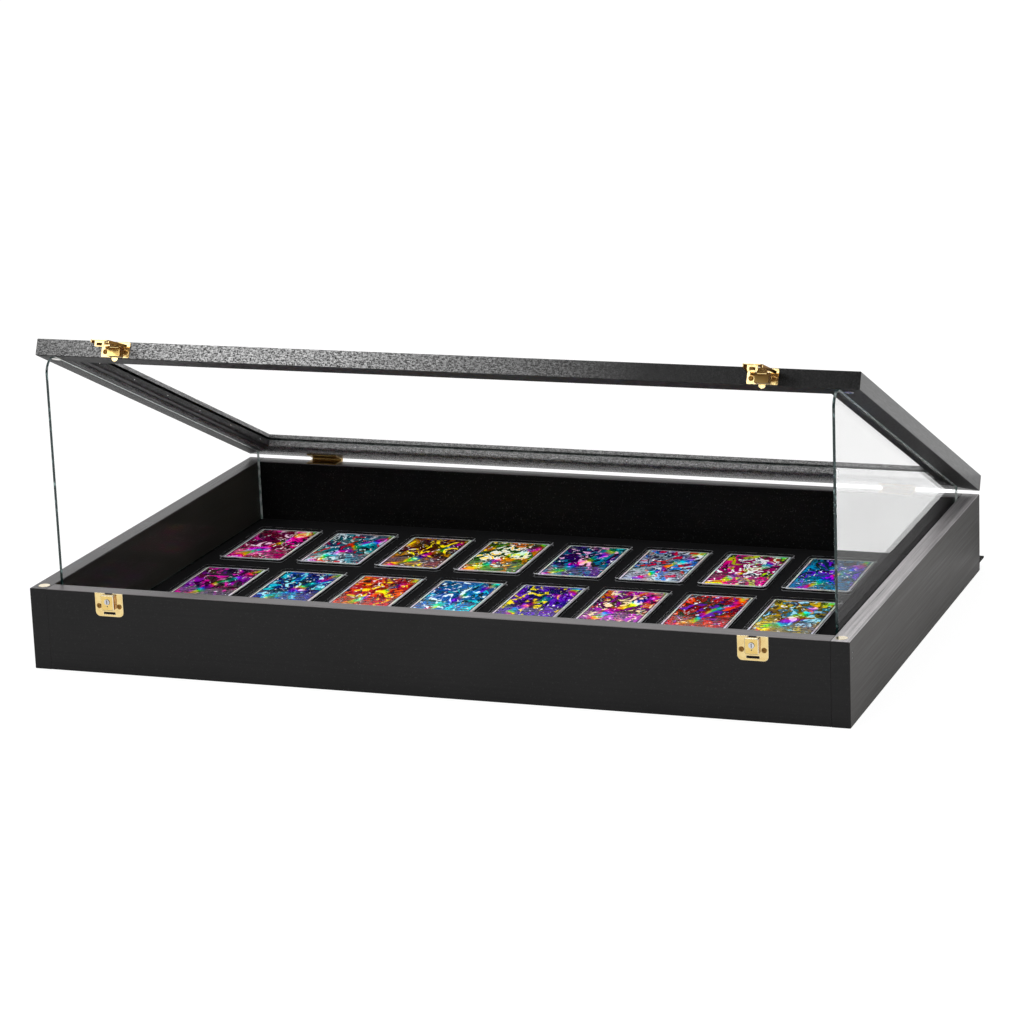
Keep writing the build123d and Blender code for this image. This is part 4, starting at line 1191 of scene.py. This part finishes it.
ink_colours = []
for ink_name in ink_names:
    source = add(print_tree, "ShaderNodeAttribute", attribute_name="ink_" + ink_name)
    ink_colours.append(source.outputs["Color"])
ground, second, figure, accent = ink_colours
print("inks on each card:", len(ink_colours))

# %% [markdown]
# ## Clouds, rays and a bold form
# A picture without a figure still needs what a picture has: broad areas, a bold form near
# the middle, rays behind it and small marks. Four sizes of noise give them all. The
# card's number is the noise's depth, so every card cuts the clouds at another level.

# %% Patterns on a card
chart = add(print_tree, "ShaderNodeUVMap", uv_map="UVMap")
flat_place = add(print_tree, "ShaderNodeSeparateXYZ")
join(print_tree, chart, "UV", flat_place, "Vector")
u, v = flat_place.outputs["X"], flat_place.outputs["Y"]
tall = maths("MULTIPLY", v, 1.15)
card_number = add(print_tree, "ShaderNodeAttribute", attribute_name="card_number")
deep = maths("MULTIPLY", card_number.outputs["Fac"], 7.31)
spot = spot_at(u, tall, deep)


def noise(scale, detail, distortion, shift=0.0):
    """Noise on the card, shifted so that no two noises agree."""
    shifted = add(print_tree, "ShaderNodeVectorMath", operation="ADD")
    shifted.inputs[1].default_value = (shift, shift * 0.7, shift * 1.3)
    join(print_tree, spot, "Vector", shifted, 0)
    looks = {"Scale": scale, "Detail": detail, "Distortion": distortion}
    made = add(print_tree, "ShaderNodeTexNoise", looks)
    join(print_tree, shifted, "Vector", made, "Vector")
    return made.outputs["Fac"]


broad = noise(1.5, 1.0, 1.4)
bold = noise(1.9, 1.5, 2.2, 4.0)
small = noise(3.7, 1.5, 2.4, 9.0)
fine = noise(9.0, 1.5, 2.0, 15.0)
out_u = maths("SUBTRACT", u, 0.5)
out_v = maths("SUBTRACT", tall, 0.70)
squares = maths("ADD", maths("MULTIPLY", out_u, out_u), maths("MULTIPLY", out_v, out_v))
away = maths("SQRT", squares)
around = maths("MULTIPLY", maths("ARCTAN2", out_v, out_u), 8.0)
rays = maths("SINE", maths("ADD", around, maths("MULTIPLY", broad, 12.0)))
form = maths("ADD", away, maths("MULTIPLY", maths("SUBTRACT", bold, 0.5), 2.0))
print("pattern nodes:", len(print_tree.nodes))

# %% [markdown]
# ## The picture
# The inks are laid over each other from the back to the front, as on a press: ground,
# second colour and rays, then the form with a lit side, a dark side and a dark outline,
# and last the small bright and dark marks.

# %% Picture
near_black = (0.006, 0.006, 0.014)
shade = mixed(1.0, ground, (0.34, 0.34, 0.38), "MULTIPLY")
picture = mixed(step(broad, 0.40, 0.56), shade, ground)
picture = mixed(step(broad, 0.56, 0.59, 0.0, 0.9), picture, second)
picture = mixed(step(rays, 0.55, 0.75, 0.0, 0.6), picture, second)
picture = mixed(step(small, 0.385, 0.40, 0.95, 0.0), picture, near_black)
picture = mixed(step(small, 0.635, 0.65, 0.0, 0.95), picture, accent)
figured = step(form, 0.33, 0.345, 1.0, 0.0)
picture = mixed(figured, picture, figure)
lit_side = maths("MULTIPLY", figured, step(small, 0.57, 0.59))
picture = mixed(lit_side, picture, accent)
dark_side = maths("MULTIPLY", figured, step(small, 0.45, 0.47, 1.0, 0.0))
picture = mixed(dark_side, picture, shade)
contour = maths("ABSOLUTE", maths("SUBTRACT", form, 0.34))
picture = mixed(step(contour, 0.022, 0.036, 1.0, 0.0), picture, (0.004, 0.004, 0.010))
picture = mixed(step(fine, 0.665, 0.69, 0.0, 0.95), picture, (0.95, 0.95, 0.98))
picture = mixed(step(fine, 0.33, 0.355, 0.9, 0.0), picture, near_black)
print("nodes with the picture:", len(print_tree.nodes))

# %% [markdown]
# ## Small print
# Below the picture is a pale band with lines of text, and above it a title bar. Letters
# would be smaller than a pixel, so a striped value makes the lines and a noise along
# each line breaks it into words.

# %% Small print
text_lines = 17.0
line_place = maths("MULTIPLY", v, text_lines)
from_middle = maths("ABSOLUTE", maths("SUBTRACT", maths("FRACT", line_place), 0.5))
line = step(from_middle, 0.16, 0.26, 1.0, 0.0)
word_place = spot_at(
    maths("MULTIPLY", u, 22.0), maths("MULTIPLY", maths("FLOOR", line_place), 5.3), deep
)
words = noise_over(print_tree, word_place, 1.0, 2.0)
low_band = maths("MULTIPLY", step(v, 0.33, 0.35, 1.0, 0.0), step(v, 0.05, 0.07))
top_band = maths("MULTIPLY", step(v, 0.90, 0.905), step(v, 0.955, 0.96, 1.0, 0.0))
bands = maths("MAXIMUM", low_band, maths("MULTIPLY", top_band, 0.8))
pale = mixed(0.40, ground, (0.80, 0.84, 0.86))
picture = mixed(maths("MULTIPLY", low_band, 0.22), picture, pale)
text_rows = maths("MULTIPLY", line, bands)
printed = maths("MULTIPLY", text_rows, step(words.outputs["Fac"], 0.44, 0.50))
picture = mixed(maths("MULTIPLY", printed, 0.95), picture, (0.008, 0.008, 0.014))
rule = step(maths("ABSOLUTE", maths("SUBTRACT", v, 0.355)), 0.006, 0.010, 1.0, 0.0)
picture = mixed(rule, picture, (0.01, 0.01, 0.02))
print("nodes with the small print:", len(print_tree.nodes))

# %% [markdown]
# ## Rainbow sheen
# Foil splits light into a rainbow. True thin-film colour would shift with every lamp, so
# the rainbow is painted: a hue that runs askew over the card, laid on strongly in one
# slanting beam of painted sheen and faintly elsewhere.

# %% Rainbow
sweep_line = maths("ADD", maths("MULTIPLY", u, 0.85), maths("MULTIPLY", v, 1.45))
hue_place = maths("ADD", maths("MULTIPLY", sweep_line, 1.25), maths("MULTIPLY", broad, 1.2))
rainbow = add(print_tree, "ShaderNodeCombineColor", {1: 0.95, 2: 1.0}, mode="HSV")
feed(rainbow.inputs[0], maths("FRACT", hue_place))
rainbow = rainbow.outputs["Color"]
beam_place = maths("ADD", u, maths("MULTIPLY", v, -0.8))
beam_place = maths("ADD", beam_place, maths("MULTIPLY", broad, 0.5))
beam = maths("ABSOLUTE", maths("SUBTRACT", beam_place, 0.42))
sheen = maths("MULTIPLY", step(beam, 0.05, 0.12, 1.0, 0.06), step(small, 0.42, 0.55, 0.30, 1.0))
picture = mixed(maths("MULTIPLY", sheen, 0.70), picture, rainbow, "OVERLAY")
picture = mixed(maths("MULTIPLY", sheen, 0.34), picture, rainbow, "SCREEN")
vivid = add(print_tree, "ShaderNodeHueSaturation", {"Saturation": 1.35, "Value": 1.45})
feed(vivid.inputs["Color"], picture)
picture = vivid.outputs["Color"]
print("nodes with the sheen:", len(print_tree.nodes))

# %% [markdown]
# ## Silver rim
# The foil is left bare round the picture, with a thin dark line inside it. Its width has
# to be even on all four sides, so the way to the nearest edge is worked out in
# millimetres first.

# %% Rim and gloss
millimetres = 1000.0
edge_u = maths("MINIMUM", u, maths("SUBTRACT", 1.0, u))
edge_u = maths("MULTIPLY", edge_u, card_width * millimetres)
edge_v = maths("MINIMUM", v, maths("SUBTRACT", 1.0, v))
edge_v = maths("MULTIPLY", edge_v, card_length * millimetres)
edge = maths("MINIMUM", edge_u, edge_v)
silver = mixed(0.16, (0.86, 0.86, 0.86), rainbow)
silver = mixed(step(small, 0.45, 0.6, 0.0, 0.5), silver, (0.35, 0.35, 0.38))
framed = mixed(step(edge, 1.8, 2.0, 1.0, 0.0), picture, silver)
frame_line = step(maths("ABSOLUTE", maths("SUBTRACT", edge, 2.6)), 0.45, 0.65, 1.0, 0.0)
framed = mixed(frame_line, framed, (0.012, 0.012, 0.02))
feed(print_shader.inputs["Base Color"], framed)
feed(print_shader.inputs["Roughness"], step(small, 0.35, 0.65, 0.22, 0.36))
ripple_lines = {"Scale": 30.0, "Distortion": 3.0}
foil_ripple = add(print_tree, "ShaderNodeTexWave", ripple_lines, bands_direction="DIAGONAL")
join(print_tree, spot, "Vector", foil_ripple, "Vector")
raise_pattern(print_tree, print_shader, foil_ripple, "Fac", 0.15, 0.0001)
print("card print nodes:", len(print_tree.nodes))

# %% [markdown]
# ## Inks
# Every card gets four inks: a ground, a second colour, a figure colour and an accent.
# They are written as everyday colour values, which are easy to judge by eye, and turned
# once to the linear light that Blender reckons in.

# %% Inks
def ink(red, green, blue):
    """An everyday 0 to 255 colour as linear light."""
    values = []
    for part in (red, green, blue):
        share = part / 255
        values.append(share / 12.92 if share <= 0.04045 else ((share + 0.055) / 1.055) ** 2.4)
    return (*values, 1.0)


white, navy, night = ink(240, 244, 246), ink(14, 26, 58), ink(12, 10, 20)
row_inks = {
    "back": (
        (ink(158, 12, 74), ink(236, 120, 176), ink(84, 4, 48), ink(244, 214, 228)),
        (ink(84, 142, 152), ink(214, 226, 230), ink(16, 34, 46), ink(196, 34, 34)),
        (ink(104, 46, 18), ink(196, 136, 60), ink(52, 18, 14), ink(252, 226, 40)),
        (ink(76, 120, 44), ink(206, 112, 40), ink(236, 238, 226), ink(250, 204, 36)),
        (ink(66, 34, 118), ink(22, 116, 138), night, ink(232, 182, 220)),
        (ink(214, 228, 238), ink(40, 112, 196), navy, ink(206, 46, 54)),
        (ink(232, 60, 142), ink(176, 222, 62), white, ink(22, 36, 70)),
        (ink(32, 140, 190), ink(12, 78, 122), ink(124, 92, 206), ink(10, 22, 44)),
    ),
    "middle": (
        (ink(76, 12, 54), ink(136, 62, 164), ink(28, 6, 32), ink(206, 84, 164)),
        (ink(16, 66, 168), ink(44, 216, 228), ink(6, 14, 36), ink(176, 232, 244)),
        (ink(192, 26, 20), ink(230, 104, 48), ink(168, 18, 16), ink(240, 214, 96)),
        (ink(66, 148, 210), ink(64, 212, 216), ink(22, 78, 156), ink(226, 244, 250)),
        (ink(52, 26, 134), ink(92, 40, 170), ink(22, 12, 44), ink(242, 216, 50)),
        (ink(192, 92, 192), ink(192, 110, 62), ink(54, 16, 22), ink(244, 222, 190)),
        (ink(214, 40, 30), ink(236, 92, 60), ink(16, 12, 16), ink(108, 62, 164)),
        (ink(158, 140, 72), ink(198, 168, 62), ink(20, 112, 142), ink(182, 222, 240)),
    ),
    "front": (
        (ink(30, 120, 96), ink(160, 214, 120), navy, ink(246, 226, 90)),
        (ink(206, 70, 40), ink(246, 170, 70), night, ink(250, 240, 210)),
        (ink(70, 60, 170), ink(150, 130, 230), ink(24, 14, 60), ink(120, 230, 230)),
        (ink(200, 180, 60), ink(236, 220, 130), ink(90, 60, 16), ink(190, 40, 40)),
        (ink(20, 90, 150), ink(110, 190, 230), white, ink(230, 80, 120)),
        (ink(150, 30, 110), ink(230, 120, 190), ink(40, 10, 50), ink(250, 220, 80)),
        (ink(40, 130, 60), ink(150, 210, 80), ink(14, 40, 24), ink(240, 120, 50)),
        (ink(110, 120, 140), ink(210, 220, 230), night, ink(60, 160, 220)),
    ),
}
print("inked cards:", sum(len(r) for r in row_inks.values()))

# %% [markdown]
# ## A card and its holder
# A card is a slab with round corners and a slightly eased top. The holder is a hard
# clear sleeve, thicker and wider, with a slot inside for the card. Both are stacked from
# rings of the same outline. The slot is a second slab turned inside out, which is all
# that a hollow in clear plastic needs.

# %% Card and holder shapes
def rounded_outline(width, length, corner):
    """Points round a rectangle with round corners, anticlockwise."""
    steps = 5
    points = []
    for number, (sign_x, sign_y) in enumerate(((1, 1), (-1, 1), (-1, -1), (1, -1))):
        middle_x = sign_x * (width / 2 - corner)
        middle_y = sign_y * (length / 2 - corner)
        for part in range(steps + 1):
            angle = (number + part / steps) * pi / 2
            points.append((middle_x + corner * cos(angle), middle_y + corner * sin(angle)))
    return points


def stacked_slab(shape, width, length, corner, levels, inwards=False):
    """A closed slab through rings, each level an (inset, height) pair."""
    rings = []
    for inset, height in levels:
        outline = rounded_outline(
            width - 2 * inset, length - 2 * inset, max(corner - inset, 0.0002)
        )
        rings.append([shape.verts.new((x, y, height)) for x, y in outline])
    faces = []
    for low, high in zip(rings, rings[1:]):
        for number in range(len(low)):
            faces.append((low[number - 1], low[number], high[number], high[number - 1]))
    faces += [rings[0][::-1], rings[-1]]
    for corners in faces:
        shape.faces.new(corners[::-1] if inwards else corners)


card_levels = ((0.0, -0.00025), (0.0, 0.0002), (0.0001, 0.00025))
card_shape = bmesh.new()
stacked_slab(card_shape, card_width, card_length, 0.003, card_levels)
print_chart = card_shape.loops.layers.uv.new("UVMap")
plain_silver = (0.01, 0.01)
card_shape.normal_update()
for face in card_shape.faces:
    for loop in face.loops:
        x, y, z = loop.vert.co
        place = (x / card_width + 0.5, y / card_length + 0.5)
        loop[print_chart].uv = place if face.normal.z > -0.5 else plain_silver
card_blank = keep_shape("card_blank", card_shape)

holder_width, holder_length, slot_play = 0.0765, 0.127, 0.001
holder_levels = (
    (0.0008, 0.0), (0.0002, 0.0003), (0.0, 0.0008), (0.0, 0.0037), (0.0002, 0.0042), (0.0008, 0.0045)
)
slot_levels = ((0.0, 0.00195), (0.0, 0.00255))
holder_shape = bmesh.new()
stacked_slab(holder_shape, holder_width, holder_length, 0.0042, holder_levels)
slot_width, slot_length = card_width + slot_play, card_length + slot_play
stacked_slab(holder_shape, slot_width, slot_length, 0.0032, slot_levels, inwards=True)
holder_blank = keep_shape("holder_blank", holder_shape)
rim = holder_blank.data.attributes.new("rim", "BOOLEAN", "FACE")
for polygon in holder_blank.data.polygons:
    rim.data[polygon.index].value = abs(polygon.normal.z) < 0.97
print("card faces:", len(card_blank.data.polygons), "holder faces:", len(holder_blank.data.polygons))

# %% [markdown]
# ## Setting out the rows
# A row is eight equal pieces, so a small tree copies one blank onto eight points, all
# turned alike, because the whole array lies a little askew on the deck. Realising the
# copies hands the points' inks on to their corners, where the print finds them. Faces
# marked as rim get the second finish.

# %% Row tree
row_settings = [
    ("Blank", "Object", None),
    ("Turn", "Float", 0.0),
    ("Finish", "Material", None),
    ("Rim finish", "Material", None),
]
row_tree, row_start, row_end = new_tree("set_out_row", row_settings)
blank = add(row_tree, "GeometryNodeObjectInfo", transform_space="ORIGINAL")
join(row_tree, row_start, "Blank", blank, "Object")
row_turn = add(row_tree, "ShaderNodeCombineXYZ")
join(row_tree, row_start, "Turn", row_turn, "Z")
row_spin = add(row_tree, "FunctionNodeEulerToRotation")
join(row_tree, row_turn, "Vector", row_spin, "Euler")
row_copies = add(row_tree, "GeometryNodeInstanceOnPoints")
join(row_tree, row_start, "Geometry", row_copies, "Points")
join(row_tree, blank, "Geometry", row_copies, "Instance")
join(row_tree, row_spin, "Rotation", row_copies, "Rotation")
row_coat = realised(row_tree, row_start, row_copies)
is_rim = add(row_tree, "GeometryNodeInputNamedAttribute", {"Name": "rim"}, data_type="BOOLEAN")
row_rim = add(row_tree, "GeometryNodeSetMaterial")
join(row_tree, row_coat, "Geometry", row_rim, "Geometry")
join(row_tree, is_rim, "Attribute", row_rim, "Selection")
join(row_tree, row_start, "Rim finish", row_rim, "Material")
join(row_tree, row_rim, "Geometry", row_end, "Geometry")


print("row tree nodes:", len(row_tree.nodes))

# %% [markdown]
# ## The holder's rim
# Light runs along inside clear plastic and leaves at its edges, as bright and dark lines
# one above the other. That would cost many bounces, so the rim's own finish draws the
# lines by height, with a little noise so that they are not dead straight.

# %% Holder finishes
clear_holder = clear_sheet("clear_holder", 0.012, 0.7, rough=0.02)
holder_rim, rim_tree, rim_shader = new_finish(
    "holder_rim", **{"Roughness": 0.15, "Specular IOR Level": 0.6, "Metallic": 0.4}
)
rim_space = pattern_space(rim_tree)
rim_split = add(rim_tree, "ShaderNodeSeparateXYZ")
join(rim_tree, rim_space, "Vector", rim_split, "Vector")
rim_noise = noise_over(rim_tree, rim_space, 90.0, 2.0)
rim_height = blend_between(rim_tree, rim_split, "Z", 0.018, 0.0225, 0.0, 2.6)
rim_phase = add(rim_tree, "ShaderNodeMath", operation="ADD")
join(rim_tree, rim_height, "Result", rim_phase, 0)
join(rim_tree, rim_noise, "Fac", rim_phase, 1)
rim_wave = add(rim_tree, "ShaderNodeMath", {1: 1.0}, operation="PINGPONG")
join(rim_tree, rim_phase, "Value", rim_wave, 0)
rim_line = blend_between(rim_tree, rim_wave, "Value", 0.55, 0.80, 0.0, 1.0)
rim_dark, rim_bright = (0.02, 0.02, 0.022, 1), (0.62, 0.63, 0.65, 1)
two_tones(rim_tree, rim_shader, rim_line, "Result", rim_dark, rim_bright)
rim_alpha = blend_between(rim_tree, rim_line, "Result", 0.0, 1.0, 0.15, 0.75)
join(rim_tree, rim_alpha, "Result", rim_shader, "Alpha")
print("holder finishes:", clear_holder.name, holder_rim.name)

# %% [markdown]
# ## Laying the cards
# Each row's places are read off its solids, from left to right, and so is the small
# angle it lies askew. A card's inks and number go on its point. The cards and their
# holders are two meshes to a row, because they are two materials in life as well.

# %% Set out the rows
def set_out(name, blank_piece, points, askew, finish, rim_finish, node, point_inks=()):
    """Copy a blank along a row and keep the result as one mesh."""
    piece = point_piece(name, points)
    if point_inks:
        layers = piece.data.attributes
        for position, label in enumerate(ink_names):
            layer = layers.new("ink_" + label, "FLOAT_COLOR", "POINT")
            for number, colours in enumerate(point_inks):
                layer.data[number].color = colours[position]
        count = layers.new("card_number", "FLOAT", "POINT")
        for number, point in enumerate(points):
            count.data[number].value = number * 0.37 + point.y * 9
    values = {"Blank": blank_piece, "Turn": askew, "Finish": finish, "Rim finish": rim_finish}
    run_tree(piece, row_tree, values)
    piece.data.shade_smooth()
    piece.data.set_sharp_from_angle(angle=radians(40))
    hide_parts(node)
    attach(piece, "tray")


for row_name, inks in row_inks.items():
    middles = [middle_of(group) for group in islands(f"cards_{row_name}_row")]
    places = sorted(middles, key=lambda point: point.x)
    slope = places[-1] - places[0]
    askew = atan2(slope.y, slope.x)
    set_out(
        f"printed_cards_{row_name}", card_blank, places, askew, foil_print, foil_print,
        f"cards_{row_name}_row", inks,
    )
    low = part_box(f"card_holders_{row_name}_row")[0].z
    seats = [Vector((p.x, p.y, low)) for p in places]
    set_out(
        f"clear_holders_{row_name}", holder_blank, seats, askew, clear_holder, holder_rim,
        f"card_holders_{row_name}_row",
    )
    print(row_name, "row set out, turned", round(degrees(askew), 2), "degrees")
for used in (card_blank, holder_blank):
    bpy.data.objects.remove(used)
